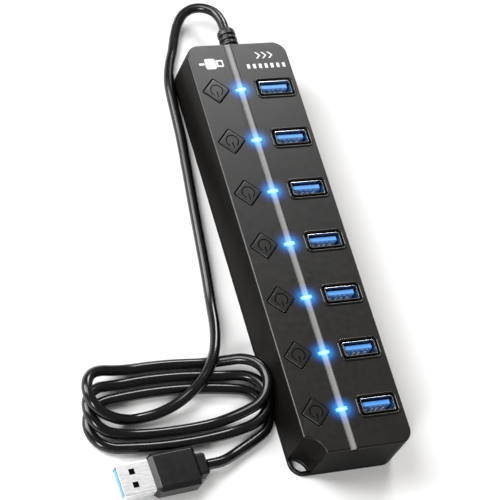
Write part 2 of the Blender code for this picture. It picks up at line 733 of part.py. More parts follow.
def make_tube(name, points):
    """Makes a stretch of cable along a route."""
    curve = bpy.data.curves.new(name, "CURVE")
    curve.dimensions = "3D"
    curve.bevel_depth = CORD_DIAMETER / 2
    curve.bevel_resolution = 2
    curve.use_fill_caps = True
    route = smooth_route(points, CORD_STEP)
    spline = curve.splines.new("POLY")
    spline.points.add(len(route) - 1)
    for point, place in zip(spline.points, route):
        point.co = (*place, 1)
    return add_object(name, curve, "cord")


def make_strain_relief():
    """Makes the ribbed strain relief, with the flange that keeps it inside the end wall."""
    inside = -SIDE_WALL - GAP
    cap_start = RELIEF_LENGTH - RELIEF_CAP
    rib_pitch = (cap_start - GAP) / (RELIEF_RIBS + 1)
    profile = [
        (0, RELIEF_LENGTH),
        (RELIEF_TIP_RADIUS, RELIEF_LENGTH),
        (RELIEF_RADIUS, RELIEF_LENGTH - 0.45 * RELIEF_CAP),
        (RELIEF_RADIUS, cap_start),
    ]
    for rib in range(RELIEF_RIBS):
        high = cap_start - rib * rib_pitch
        low = high - RELIEF_GROOVE
        profile += [(RELIEF_NECK_RADIUS, high), (RELIEF_NECK_RADIUS, low)]
        profile += [(RELIEF_RADIUS, low), (RELIEF_RADIUS, high - rib_pitch)]
    profile += [
        (RELIEF_RADIUS, GAP),
        (RELIEF_NECK_RADIUS, GAP),
        (RELIEF_NECK_RADIUS, inside),
        (RELIEF_FLANGE_RADIUS, inside),
        (RELIEF_FLANGE_RADIUS, inside - RELIEF_FLANGE),
        (0, inside - RELIEF_FLANGE),
    ]
    place = (EXIT_X, CASE_LENGTH / 2, EXIT_Z)
    turned("strain_relief", profile, "case", place, turn=(-pi / 2, 0, 0), steps=20)


def make_coil():
    """Makes the block that the three turns of spare cable fill, open in the middle."""

    def outline(low, high, radius):
        centre = ((low[0] + high[0]) / 2, (low[1] + high[1]) / 2)
        return rounded_rectangle(high[0] - low[0], high[1] - low[1], radius, centre, 6)

    outlines = [
        outline(COIL_LOW, COIL_HIGH, COIL_CORNER),
        outline(COIL_HOLE_LOW, COIL_HOLE_HIGH, COIL_HOLE_CORNER),
    ]
    plate("cord_coil", outlines, TABLE_GAP, TABLE_GAP + COIL_HEIGHT, "cord")


# ---- Plug, in its own frame: X points out of the mouth, and the mouth is at the origin ----


def plug_frame():
    """Makes the empty that places the plug."""
    frame = bpy.data.objects.new("plug_frame", None)
    frame.location = PLUG_PLACE
    frame.rotation_euler = (0, 0, PLUG_HEADING)
    bpy.data.collections["usb_hub"].objects.link(frame)
    return frame


def turn_to_mouth(piece, middle_x):
    """Turns a piece made upright so that its length lies along X, about a place on the plug's axis."""
    piece.data.transform(Matrix.Rotation(pi / 2, 4, "Z") @ Matrix.Rotation(pi / 2, 4, "X"))
    piece.location = (middle_x, 0, 0)


def make_plug_shell(frame):
    """Makes the plug's steel shell, with the two windows that latches catch in."""
    length = PLUG_EXPOSED + PLUG_SOCKET
    inner = (PLUG_WIDTH - 2 * PLUG_SHEET, PLUG_THICKNESS - 2 * PLUG_SHEET)
    outlines = [
        rounded_rectangle(PLUG_WIDTH, PLUG_THICKNESS, 0.45 * MM, steps=2),
        rounded_rectangle(*inner, 0.2 * MM, steps=2),
    ]
    shell = plate("plug_shell", outlines, -length / 2, length / 2, "steel")
    turn_to_mouth(shell, -length / 2)
    for side in (-1, 1):
        place = (-PLUG_WINDOW_FROM_MOUTH, side * PLUG_WINDOW_SPACING / 2, PLUG_THICKNESS / 2)
        window = box("window", (PLUG_WINDOW, PLUG_WINDOW, 4 * PLUG_SHEET), "steel", place)
        combine(shell, window, "DIFFERENCE")
    shell.parent = frame


def make_plug_insert(frame):
    """Makes the blue insulator that fills the lower half of the plug's mouth."""
    margin = PLUG_SHEET + GAP
    length = PLUG_EXPOSED + PLUG_SOCKET - INSERT_SET_BACK - GAP
    size = (length, PLUG_WIDTH - 2 * margin, INSERT_THICKNESS)
    middle = -INSERT_SET_BACK - length / 2
    height = -PLUG_THICKNESS / 2 + margin + INSERT_THICKNESS / 2
    box("plug_insert", size, "insert", (middle, 0, height), frame)


def make_plug_grip(frame):
    """Makes the faceted grip, its neck, and the socket that the shell sits in."""
    front = -PLUG_EXPOSED
    width = PLUG_WIDTH + 2 * GRIP_SIDE_WALL
    height = PLUG_THICKNESS + 2 * GRIP_TOP_WALL
    grip = box("plug_grip", (GRIP_LENGTH, width, height), "cord", (front - GRIP_LENGTH / 2, 0, 0))
    soften(grip, GRIP_CHAMFER, 1, lambda point: True)
    neck_length = 2 * GRIP_NECK_LENGTH
    neck_size = (neck_length, GRIP_NECK_WIDTH, GRIP_NECK_HEIGHT)
    neck = box("neck", neck_size, "cord", (front - GRIP_LENGTH, 0, 0))
    soften(neck, GRIP_CHAMFER / 2, 1, lambda point: True)
    combine(grip, neck, "UNION")
    socket_depth = PLUG_SOCKET + GAP
    socket_size = (2 * socket_depth, PLUG_WIDTH + 2 * GAP, PLUG_THICKNESS + 2 * GAP)
    combine(grip, box("socket", socket_size, "cord", (front, 0, 0)), "DIFFERENCE")
    grip.parent = frame


def main():
    """Builds the hub."""
    clear_scene()
    bpy.context.scene.collection.children.link(bpy.data.collections.new("usb_hub"))
    make_front_shell()
    make_back_cover()
    make_screws()
    make_receptacles()
    make_tongues()
    make_buttons()
    make_plungers()
    make_switches()
    make_lights()
    make_light_strip()
    make_board()
    make_chips()
    make_strain_relief()
    make_tube("cord_lead", LEAD_ROUTE)
    make_coil()
    make_tube("cord_tail", TAIL_ROUTE)
    frame = plug_frame()
    make_plug_shell(frame)
    make_plug_insert(frame)
    make_plug_grip(frame)


main()
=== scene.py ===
"""Looks of the seven-port USB hub: fine geometry, materials, cable, floor, light and camera.

The hub lies on its back: X runs across it, Y along it towards the cable, and Z up out of its face.
Sizes are in metres, but the cable's routes and its coil are in millimetres. The places of the case's
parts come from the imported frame, and the cable, the plug and the camera have places of their own.
"""

from math import acos, asin, ceil, cos, pi, radians, sin

import bmesh
import bpy
from mathutils import Matrix, Vector


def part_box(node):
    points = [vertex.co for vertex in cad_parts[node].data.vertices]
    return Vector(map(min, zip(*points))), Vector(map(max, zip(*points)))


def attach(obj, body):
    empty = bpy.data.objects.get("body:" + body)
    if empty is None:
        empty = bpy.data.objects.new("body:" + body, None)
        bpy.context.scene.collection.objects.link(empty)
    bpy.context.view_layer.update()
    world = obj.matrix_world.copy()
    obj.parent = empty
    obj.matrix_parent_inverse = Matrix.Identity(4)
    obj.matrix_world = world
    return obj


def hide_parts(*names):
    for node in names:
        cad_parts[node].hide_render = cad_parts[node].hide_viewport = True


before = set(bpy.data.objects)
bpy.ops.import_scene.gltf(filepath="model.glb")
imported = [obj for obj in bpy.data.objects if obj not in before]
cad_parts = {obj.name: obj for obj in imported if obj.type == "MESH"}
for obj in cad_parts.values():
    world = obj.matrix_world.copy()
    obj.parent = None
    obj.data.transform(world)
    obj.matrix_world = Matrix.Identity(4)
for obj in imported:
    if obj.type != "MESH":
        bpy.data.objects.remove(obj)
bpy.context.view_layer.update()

MM = 0.001
STATIONS = range(1, 8)
HUB = "hub"

# Camera, in the hub's frame
CAMERA_PLACE = Vector((-0.33240, -0.33605, 0.66150))
CAMERA_RIGHT = Vector((0.91367, -0.26524, 0.30799))
CAMERA_UP = Vector((0.08615, 0.86689, 0.49100))
LENS = 154.0
SENSOR = 36.0

# Room, floor and softboxes: each softbox has a name, a place, a size and a power, and faces the hub
ROOM_COLOUR = (1.0, 0.965, 0.93, 1)
ROOM_STRENGTH = 0.25
FLOOR_HALF_SIZE = 6.0
FLOOR_TONES = (0.93, 0.95)
SOFTBOXES = (
    ("main_box", (-0.66, 0.42, 1.00), (0.7, 0.6), 10),
    ("left_box", (-0.98, 0.50, 0.52), (0.6, 0.5), 11),
    ("far_box", (0.37, 0.86, 0.78), (0.40, 0.30), 7),
    ("near_box", (-0.80, -0.75, 0.69), (0.3, 0.3), 7),
)

# Black plastic of the case; an upright face is given less shine than one that looks up: painted shade on the
# case's sides
CASE_DARK = (0.0058, 0.0052, 0.0048)
CASE_LIGHT = (0.0078, 0.0070, 0.0064)
CASE_ROUGHNESS = 0.32
UPRIGHT_SHINE = 0.02
LEVEL_SHINE = 0.5
UPRIGHT_SLOPE = 0.12
LEVEL_SLOPE = 0.5

# Light of the lenses, with the painted blue glow that the face and the strip emit round each lens: colours
# from a lens outwards, and on the strip from its middle to its sides
PAINTED_GLOW_REACH = 6.0 * MM
FACE_PAINTED_GLOW_STRENGTH = 0.75
FACE_PAINTED_GLOW_FLATTEN = 0.85
FACE_PAINTED_GLOW = (
    (0.0, (0.03, 0.42, 1.0)),
    (0.42, (0.012, 0.26, 0.80)),
    (0.58, (0.004, 0.09, 0.34)),
    (0.78, (0.001, 0.018, 0.08)),
    (1.0, (0.0, 0.0, 0.0)),
)
STRIP_PAINTED_GLOW_STRENGTH = 0.9
STRIP_PAINTED_GLOW = (
    (0.0, (0.10, 0.60, 1.0)),
    (0.30, (0.05, 0.40, 0.95)),
    (0.60, (0.01, 0.10, 0.36)),
    (1.0, (0.0, 0.0, 0.0)),
)
STRIP_TONES = ((0.0, 0.20), (0.50, 0.24), (0.78, 0.13), (1.0, 0.02))
LENS_STRENGTH = 1.25
LENS_BASE = (0.05, 0.15, 0.25, 1)
LENS_GLOW = (
    (0.0, (0.62, 0.95, 1.0)),
    (0.55, (0.42, 0.86, 1.0)),
    (1.0, (0.08, 0.50, 1.0)),
)

# Case
CORNER_RADIUS = 5.5 * MM
FACE_EDGE = 0.6 * MM
COVER_EDGE = 0.4 * MM
HOLE_EDGE = 0.14 * MM
SIDE_WALL = 1.8 * MM
FACE_WALL = 2.0 * MM
SEAM_DEPTH = 0.9 * MM
BITE_RADIUS = 7.0 * MM
LOOP_WIDTH = 1.5 * MM
LOOP_EDGE = 0.5 * MM
SCREW_RECESS = 1.4 * MM
SCREW_RECESS_RADIUS = 2.3 * MM
SEAM_GAP = 0.3 * MM
LIP_WIDTH = 1.0 * MM
HOLE_DEPTH = 3.0 * MM

# Port surround and receptacle
BEZEL_WIDTH = 16.7 * MM
BEZEL_DEPTH = 9.2 * MM
BEZEL_RADIUS = 2.2 * MM
BEZEL_RIM = 0.9 * MM
BEZEL_RISE = 0.5 * MM
BEZEL_POCKET = 1.0 * MM
PORT_CLEARANCE = 0.25 * MM
MOUTH_RADIUS = 0.7 * MM
SHEET = 0.3 * MM
SPRING_SIDE = 3.2 * MM
SPRING_DROP = 5.5 * MM
SPRING_WINDOW = (1.9 * MM, 1.2 * MM, 5.0 * MM)
SPRING_LEAF = (1.3 * MM, 0.25 * MM, 4.6 * MM)
SPRING_TILT = radians(5)
TONGUE_SIDE_GAP = 0.7 * MM
TONGUE_BACK_GAP = 0.64 * MM
TONGUE_DEPTH = 1.84 * MM
TONGUE_BASE = 3.2 * MM
TONGUE_BASE_MARGIN = SHEET + 0.3 * MM
TONGUE_EDGE = 0.3 * MM
CONTACT_WIDTH = 1.0 * MM
CONTACT_SIZE = (CONTACT_WIDTH, 0.30 * MM, 5.8 * MM)
CONTACT_BED = (CONTACT_WIDTH + 0.3 * MM, 0.3 * MM, 6.2 * MM)
CONTACT_DROP = 5.3 * MM
FAST_SLOT = (1.1 * MM, 0.9 * MM, 1.2 * MM)
# Dark blocks in the fast contacts' slots, which paint their shade
FAST_SLOT_SHADE = (1.02 * MM, 0.1 * MM, 1.12 * MM)
FAST_SLOT_SHADE_INSET = 0.35 * MM
FAST_SLOT_DROP = 1.2 * MM
CONTACT_PLACES = (-3.5 * MM, -1.0 * MM, 1.0 * MM, 3.5 * MM)
FAST_CONTACT_PLACES = (-4.0 * MM, -2.0 * MM, 0.0, 2.0 * MM, 4.0 * MM)

# Button
BUTTON_SIDE = 7.8 * MM
BUTTON_CLEARANCE = 0.3 * MM
BUTTON_EDGE = 0.45 * MM
BUTTON_RADIUS = 0.6 * MM
BUTTON_HOLE_RADIUS = 0.8 * MM
ICON_RADIUS = 2.45 * MM
ICON_LINE = 0.42 * MM
ICON_DEPTH = 0.12 * MM
ICON_HALF_GAP = radians(32)
ICON_BAR_LENGTH = 2.9 * MM
ICON_BAR_OFFSET = 0.55 * MM

# Strip and indicator lenses
STRIP_WIDTH = 2.8 * MM
STRIP_HOLLOW = 0.14 * MM
STRIP_LAND = 0.32 * MM
STRIP_THICKNESS = 1.2 * MM
STRIP_SLOT_DEPTH = 1.5 * MM
STRIP_SLOT_GAP = 0.08 * MM
STRIP_END = 0.8 * MM
STRIP_EDGE = 0.08 * MM
STRIP_FADE = 0.2 * MM
STRIP_CLOUD = 0.35 * MM
LENS_WIDTH = 4.7 * MM
LENS_DEPTH = 1.35 * MM
LENS_TURN = radians(7)
LENS_EDGE = 0.22 * MM
LENS_RADIUS = 0.3 * MM
LENS_THICKNESS = 1.6 * MM
LENS_GAP = 0.1 * MM
LENS_HOLE_RADIUS = 0.35 * MM
LENS_HOLE_DEPTH = 1.9 * MM

# Printed signs
PRINT_LIFT = 0.01 * MM
PRINT_THICKNESS = 0.02 * MM
PLUG_SIGN_PLACE = (-12.2 * MM, 78.2 * MM)
PLUG_SIGN = (
    ((4.4 * MM, 4.8 * MM, 0.8 * MM), -0.4 * MM, 4),
    ((3.0 * MM, 3.2 * MM, 0.2 * MM), 3.5 * MM, 2),
    ((1.6 * MM, 1.8 * MM, 0.1 * MM), 3.6 * MM, 2),
    ((2.4 * MM, 1.0 * MM, 0.4 * MM), -4.0 * MM, 3),
)
ARROW_SIGN_PLACE = (10.5 * MM, 81.0 * MM)
ARROW_SIGN_STEP = 2.6 * MM
ARROW_HALF_HEIGHT = 1.5 * MM
ARROW_BACK = 0.9 * MM
ARROW_WIDTH = 0.8 * MM
ROW_SIGN_PLACE = (10.4 * MM, 76.1 * MM)
ROW_SIGN_STEP = 2.5 * MM
ROW_BAR = (1.3 * MM, 2.1 * MM, 0.3 * MM)

# Cable: its routes and the measures of its coil are in millimetres
CORD_DIAMETER = 4.0 * MM
CORD_STEP = 1.5 * MM
LEAD_ROUTE = (
    (2.6, 100.1, 10.5),
    (2.5, 104.6, 10.2),
    (1.2, 109.2, 9.3),
    (-2.1, 112.4, 8.0),
    (-6.4, 113.5, 6.4),
    (-10.4, 111.9, 4.9),
    (-13.3, 108.2, 3.7),
    (-15.6, 103.2, 2.8),
    (-18.0, 96.8, 2.2),
    (-21.0, 90.2, 2.1),
    (-23.4, 82.0, 2.1),
    (-24.3, 72.0, 2.1),
    (-25.1, 58.0, 2.1),
    (-26.6, 43.0, 2.1),
    (-28.2, 28.0, 2.1),
    (-29.7, 13.0, 2.1),
    (-31.2, -2.0, 2.1),
    (-32.9, -15.0, 2.4),
    (-35.3, -27.0, 4.6),
    (-39.2, -37.4, 6.6),
    (-44.4, -45.0, 6.7),
    (-50.6, -50.6, 6.5),
    (-57.6, -54.4, 4.2),
    (-65.4, -56.6, 2.5),
    (-73.6, -57.5, 2.2),
)
COIL_ENTRY = (
    (-77.8, -57.8, 3.6),
    (-82.2, -57.6, 5.7),
    (-86.9, -56.2, 8.1),
    (-90.3, -53.0, 9.9),
)
TAIL_ROUTE = (
    (-40.0, -75.4, 2.4),
    (-46.7, -78.3, 3.8),
    (-53.1, -79.1, 4.3),
)
COIL_STEP = 4.5
COIL_LEFT = (-91.6, -48.4)
COIL_HALF_WIDTH = 34.1
COIL_END_RADIUS = 9.7
COIL_SIDE_RADIUS = 160.0
COIL_SIDE_ANGLE = asin((COIL_HALF_WIDTH - COIL_END_RADIUS) / (COIL_SIDE_RADIUS - COIL_END_RADIUS))
COIL_SIDE_CENTRE = (COIL_SIDE_RADIUS - COIL_END_RADIUS) * cos(COIL_SIDE_ANGLE)
COIL_SIDE = 2 * COIL_SIDE_RADIUS * COIL_SIDE_ANGLE
COIL_END = COIL_END_RADIUS * (pi / 2 - COIL_SIDE_ANGLE)
COIL_HALF_TURN = COIL_SIDE + 2 * COIL_END
COIL_LENGTH = 5 * COIL_HALF_TURN + COIL_END_RADIUS * radians(66)
COIL_DRIFT = -2.5
COIL_REST = 2.1
COIL_HUMPS = ((8.5, 29.0), (8.7, 29.0), (4.2, 24.0), (4.2, 24.0))

# Strain relief
RELIEF_RADIUS = 3.6 * MM
RELIEF_NECK_RADIUS = 2.9 * MM
RELIEF_TIP_RADIUS = 2.7 * MM
RELIEF_CAP = 3.4 * MM
RELIEF_RIBS = 3
RELIEF_GROOVE = 1.1 * MM

# Plug, in its own frame: X points out of the mouth, and the mouth is at the origin
PLUG_PLACE = Vector((-86.8, -81.5, 4.3)) * MM
PLUG_HEADING = radians(184)
PLUG_WIDTH = 12.0 * MM
PLUG_THICKNESS = 4.5 * MM
PLUG_EXPOSED = 12.0 * MM
PLUG_WINDOW = 2.2 * MM
PLUG_WINDOW_SPACING = 5.0 * MM
PLUG_WINDOW_FROM_MOUTH = 5.2 * MM
INSERT_THICKNESS = 1.9 * MM
INSERT_MARGIN = SHEET + 0.1 * MM
INSERT_INSET = 0.4 * MM
PLUG_CONTACT = (8.0 * MM, CONTACT_WIDTH, 0.2 * MM)
PLUG_CONTACT_FROM_MOUTH = 5.2 * MM
GRIP_LENGTH = 18.0 * MM
GRIP_WIDTH = 15.0 * MM
GRIP_HEIGHT = 8.2 * MM
GRIP_CHAMFER = 1.5 * MM
GRIP_NECK_LENGTH = 3.4 * MM
GRIP_NECK_WIDTH = 8.4 * MM
GRIP_NECK_HEIGHT = 6.2 * MM


# ---- Places taken from the frame ----


def middle(node):
    """Returns the middle of a node's box."""
    low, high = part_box(node)
    return (Vector(low) + Vector(high)) / 2


def top_of(node):
    """Returns the height of a node's highest point."""
    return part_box(node)[1][2]


def station_centres(node):
    """Returns where a repeated node lies on the face, at every station."""
    places = [middle(f"{node}_{station}") for station in STATIONS]
    return [(place.x, place.y) for place in places]


COVER_LOW, COVER_HIGH = (Vector(corner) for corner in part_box("back_cover"))
CASE_WIDTH = COVER_HIGH.x - COVER_LOW.x
CASE_LENGTH = COVER_HIGH.y - COVER_LOW.y
CASE_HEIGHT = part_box("front_shell")[1][2] - BEZEL_RISE
SHELL_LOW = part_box("front_shell")[0][2]
BACK_WALL = SHELL_LOW - SEAM_GAP
LIGHT_X = middle("indicator_1").x
PORT_CENTRES = station_centres("port_shell")
BUTTON_CENTRES = station_centres("power_button")
LIGHT_CENTRES = station_centres("indicator")
RECEPTACLE_LOW, RECEPTACLE_HIGH = (Vector(corner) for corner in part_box("port_shell_1"))
RECEPTACLE_WIDTH = RECEPTACLE_HIGH.x - RECEPTACLE_LOW.x
RECEPTACLE_DEPTH = RECEPTACLE_HIGH.y - RECEPTACLE_LOW.y
EXIT = Vector((middle("strain_relief").x, CASE_LENGTH / 2, middle("strain_relief").z))
RELIEF_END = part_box("strain_relief")[1][1]
RELIEF_LENGTH = RELIEF_END - CASE_LENGTH / 2


# ---- Making and joining meshes ----


def add(name, data, paint=None):
    """Puts an object into the scene."""
    made = bpy.data.objects.new(name, data)
    if paint:
        data.materials.append(paint)
    bpy.context.scene.collection.objects.link(made)
    return made


def evaluated_mesh(source):
    """Returns the mesh that an object's curve or modifiers make, welded and facing out."""
    bpy.context.view_layer.update()
    depsgraph = bpy.context.evaluated_depsgraph_get()
    mesh = bpy.data.meshes.new_from_object(source.evaluated_get(depsgraph))
    shape = bmesh.new()
    shape.from_mesh(mesh)
    bmesh.ops.remove_doubles(shape, verts=shape.verts, dist=0.001 * MM)
    bmesh.ops.recalc_face_normals(shape, faces=shape.faces)
    shape.to_mesh(mesh)
    shape.free()
    return mesh


def add_path(curve, points, closed):
    """Adds a path of straight pieces to a curve."""
    spline = curve.splines.new("POLY")
    spline.points.add(len(points) - 1)
    spline.use_cyclic_u = closed
    for point, place in zip(spline.points, points):
        point.co = (*place, 1)
    return spline


def plate(name, outlines, low, high, paint=None):
    """Makes a flat piece between two levels from closed outlines; an outline inside another is a hole."""
    curve = bpy.data.curves.new(name, "CURVE")
    curve.dimensions = "2D"
    curve.fill_mode = "BOTH"
    curve.extrude = (high - low) / 2
    for outline in outlines:
        add_path(curve, [(x, y, 0) for x, y in outline], True)
    source = add(name + "_outline", curve)
    mesh = evaluated_mesh(source)
    bpy.data.objects.remove(source, do_unlink=True)
    mesh.transform(Matrix.Translation((0, 0, (low + high) / 2)))
    return add(name, mesh, paint)


def block(name, size, paint=None, place=(0, 0, 0)):
    """Makes a block about a place."""
    shape = bmesh.new()
    bmesh.ops.create_cube(shape, size=1.0)
    bmesh.ops.scale(shape, vec=size, verts=shape.verts)
    bmesh.ops.translate(shape, vec=place, verts=shape.verts)
    mesh = bpy.data.meshes.new(name)
    shape.to_mesh(mesh)
    shape.free()
    return add(name, mesh, paint)


def rod(name, radius, length, along, place, sides=48):
    """Makes a cylinder along an axis, about a place."""
    shape = bmesh.new()
    bmesh.ops.create_cone(shape, cap_ends=True, segments=sides, radius1=radius, radius2=radius, depth=length)
    mesh = bpy.data.meshes.new(name)
    shape.to_mesh(mesh)
    shape.free()
    turn = Vector(along).to_track_quat("Z", "Y").to_matrix().to_4x4()
    mesh.transform(Matrix.Translation(place) @ turn)
    return add(name, mesh)


def combine(target, tool, operation="DIFFERENCE"):
    """Joins a solid to another or cuts it away, and removes the tool."""
    modifier = target.modifiers.new(operation, "BOOLEAN")
    modifier.operation = operation
    modifier.solver = "MANIFOLD"
    modifier.object = tool
    target.data = evaluated_mesh(target)
    target.modifiers.clear()
    bpy.data.objects.remove(tool, do_unlink=True)
    for face in target.data.polygons:
        face.material_index = 0
    while len(target.data.materials) > 1:
        target.data.materials.pop()


def soften(target, width, segments, is_chosen, sharp=40):
    """Rounds the sharp edges whose two ends both pass a test."""
    shape = bmesh.new()
    shape.from_mesh(target.data)
    chosen = [
        edge
        for edge in shape.edges
        if edge.calc_face_angle(0) > radians(sharp) and all(is_chosen(vert.co) for vert in edge.verts)
    ]
    bmesh.ops.bevel(shape, geom=chosen, offset=width, segments=segments, profile=0.5, affect="EDGES")
    shape.to_mesh(target.data)
    shape.free()


def anywhere(_point):
    """Passes every point."""
    return True


def above(height):
    """Returns a test that passes points at or over a height."""
    return lambda point: point.z > height - 0.002 * MM


def below(height):
    """Returns a test that passes points at or under a height."""
    return lambda point: point.z < height + 0.002 * MM


def shade(piece, angle=32):
    """Shades a piece smooth between its flat faces and its sharp edges."""
    piece.data.shade_smooth()
    piece.data.set_sharp_from_angle(angle=radians(angle))
    weigh = piece.modifiers.new("WeightedNormal", "WEIGHTED_NORMAL")
    weigh.keep_sharp = True
    weigh.weight = 100
    return piece


def repeat(first, name, node, body=HUB):
    """Places a copy of a piece made about the origin at every station's node, on the same mesh."""
    copies = []
    for station in STATIONS:
        place = middle(f"{node}_{station}")
        copy = first.copy()
        copy.name = f"{name}_{station}"
        copy.location = (place.x, place.y, 0)
        bpy.context.scene.collection.objects.link(copy)
        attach(copy, body.format(station))
        copies.append(copy)
    bpy.data.objects.remove(first, do_unlink=True)
    return copies


# ---- Outlines ----


def arc(centre, radius, start, end, steps):
    """Returns points round an arc, with its angles in radians."""
    angles = [start + (end - start) * i / steps for i in range(steps + 1)]
    return [(centre[0] + radius * cos(a), centre[1] + radius * sin(a)) for a in angles]


def rounded_rectangle(width, depth, radius, centre=(0, 0), steps=8):
    """Returns the outline of a rectangle with round corners."""
    points = []
    for quarter, (side_x, side_y) in enumerate(((1, 1), (-1, 1), (-1, -1), (1, -1))):
        corner = (
            centre[0] + side_x * (width / 2 - radius),
            centre[1] + side_y * (depth / 2 - radius),
        )
        points += arc(corner, radius, quarter * pi / 2, (quarter + 1) * pi / 2, steps)
    return points


def turned_outline(outline, angle, centre=(0, 0)):
    """Returns an outline about the origin, turned and moved to a centre."""
    c, s = cos(angle), sin(angle)
    return [(centre[0] + c * x - s * y, centre[1] + s * x + c * y) for x, y in outline]


def diamond(side, radius, centre=(0, 0)):
    """Returns the outline of a square that stands on its corner."""
    return turned_outline(rounded_rectangle(side, side, radius, steps=5), pi / 4, centre)


def bitten_outline(inset):
    """Returns the case's outline, moved in by inset, with the lanyard corner bitten out of it."""
    half_width = CASE_WIDTH / 2 - inset
    half_length = CASE_LENGTH / 2 - inset
    radius = max(CORNER_RADIUS - inset, 0.5 * MM)
    points = []
    for side_x, side_y, start in ((1, -1, -pi / 2), (1, 1, 0), (-1, 1, pi / 2)):
        corner = (side_x * (half_width - radius), side_y * (half_length - radius))
        points += arc(corner, radius, start, start + pi / 2, 14)
    bite = BITE_RADIUS + inset
    corner = (-CASE_WIDTH / 2, -CASE_LENGTH / 2)
    return points + arc(corner, bite, acos(inset / bite), asin(inset / bite), 28)


def loop_hole_outline():
    """Returns the hole through the lanyard loop: the bite, less the loop's own width."""
    corner = Vector((-CASE_WIDTH / 2, -CASE_LENGTH / 2))
    rim = CORNER_RADIUS - LOOP_WIDTH
    centre = corner + Vector((CORNER_RADIUS, CORNER_RADIUS))
    edge = asin(LOOP_WIDTH / BITE_RADIUS)
    return arc(corner, BITE_RADIUS, edge, pi / 2 - edge, 20) + arc(centre, rim, pi, 1.5 * pi, 14)


# ---- Materials ----


def new_material(name):
    """Makes a material and returns it with its node tree and its main shader."""
    made = bpy.data.materials.new(name)
    made.use_nodes = True
    return made, made.node_tree, made.node_tree.nodes["Principled BSDF"]


def noise(tree, size, detail=3.0, stretch=(1, 1, 1)):
    """Adds a noise over the object's own coordinates, with features of about a size in metres."""
    place = tree.nodes.new("ShaderNodeTexCoord")
    scale = tree.nodes.new("ShaderNodeMapping")
    scale.inputs["Scale"].default_value = [part / size for part in stretch]
    texture = tree.nodes.new("ShaderNodeTexNoise")
    texture.inputs["Scale"].default_value = 1.0
    texture.inputs["Detail"].default_value = detail
    tree.links.new(place.outputs["Object"], scale.inputs["Vector"])
    tree.links.new(scale.outputs["Vector"], texture.inputs["Vector"])
    return texture.outputs["Fac"]


def ramp(tree, value, stops):
    """Turns a value into a colour along stops of (position, colour)."""
    node = tree.nodes.new("ShaderNodeValToRGB")
    elements = node.color_ramp.elements
    while len(elements) < len(stops):
        elements.new(0.5)
    for element, (position, colour) in zip(elements, stops):
        element.position = position
        element.color = (*colour, 1.0)
    tree.links.new(value, node.inputs["Fac"])
    return node.outputs["Color"]


def spread(tree, value, low, high, start=0.3, end=0.7):
    """Maps a value onto a range."""
    node = tree.nodes.new("ShaderNodeMapRange")
    node.inputs["From Min"].default_value = start
    node.inputs["From Max"].default_value = end
    node.inputs["To Min"].default_value = low
    node.inputs["To Max"].default_value = high
    tree.links.new(value, node.inputs["Value"])
    return node.outputs["Result"]


def bump(tree, shader, height, distance):
    """Adds relief to a shader's normal."""
    node = tree.nodes.new("ShaderNodeBump")
    node.inputs["Strength"].default_value = 1.0
    node.inputs["Distance"].default_value = distance
    tree.links.new(height, node.inputs["Height"])
    tree.links.new(node.outputs["Normal"], shader.inputs["Normal"])


def arithmetic(tree, operation, value, other):
    """Works out one step of arithmetic on a value and another value or a number."""
    node = tree.nodes.new("ShaderNodeMath")
    node.operation = operation
    tree.links.new(value, node.inputs[0])
    if isinstance(other, (int, float)):
        node.inputs[1].default_value = other
    else:
        tree.links.new(other, node.inputs[1])
    return node.outputs["Value"]


def from_lens(tree, flatten):
    """Returns a point's distance from the nearest lens; flatten shrinks its part across the hub."""
    first, last = LIGHT_CENTRES[0][1], LIGHT_CENTRES[-1][1]
    pitch = first - LIGHT_CENTRES[1][1]
    place = tree.nodes.new("ShaderNodeTexCoord")
    parts = tree.nodes.new("ShaderNodeSeparateXYZ")
    tree.links.new(place.outputs["Object"], parts.inputs["Vector"])
    along = arithmetic(tree, "SUBTRACT", parts.outputs["Y"], last)
    nearest = arithmetic(tree, "SNAP", arithmetic(tree, "ADD", along, pitch / 2), pitch)
    nearest = arithmetic(tree, "MINIMUM", arithmetic(tree, "MAXIMUM", nearest, 0.0), first - last)
    offset = tree.nodes.new("ShaderNodeCombineXYZ")
    across = arithmetic(tree, "SUBTRACT", parts.outputs["X"], LIGHT_X)
    tree.links.new(arithmetic(tree, "MULTIPLY", across, flatten), offset.inputs["X"])
    tree.links.new(arithmetic(tree, "SUBTRACT", along, nearest), offset.inputs["Y"])
    tree.links.new(arithmetic(tree, "SUBTRACT", parts.outputs["Z"], CASE_HEIGHT), offset.inputs["Z"])
    length = tree.nodes.new("ShaderNodeVectorMath")
    length.operation = "LENGTH"
    tree.links.new(offset.outputs["Vector"], length.inputs[0])
    return length.outputs["Value"]


def add_painted_glow(tree, shader, stops, strength, flatten):
    """Paints a blue glow near each lens: emission from a surface that is no lamp, standing in for the lens's
    spilled light.
    """
    near = spread(tree, from_lens(tree, flatten), 0.0, 1.0, 0.0, PAINTED_GLOW_REACH)
    tree.links.new(ramp(tree, near, stops), shader.inputs["Emission Color"])
    shader.inputs["Emission Strength"].default_value = strength


def painted_side_shade(tree, shader):
    """Paints shade on upright faces by giving them less shine than those that look up."""
    geometry = tree.nodes.new("ShaderNodeNewGeometry")
    parts = tree.nodes.new("ShaderNodeSeparateXYZ")
    tree.links.new(geometry.outputs["Normal"], parts.inputs["Vector"])
    shine = spread(tree, parts.outputs["Z"], UPRIGHT_SHINE, LEVEL_SHINE, UPRIGHT_SLOPE, LEVEL_SLOPE)
    tree.links.new(shine, shader.inputs["Specular IOR Level"])


def grey(level):
    """Returns a neutral colour."""
    return (level, level, level)


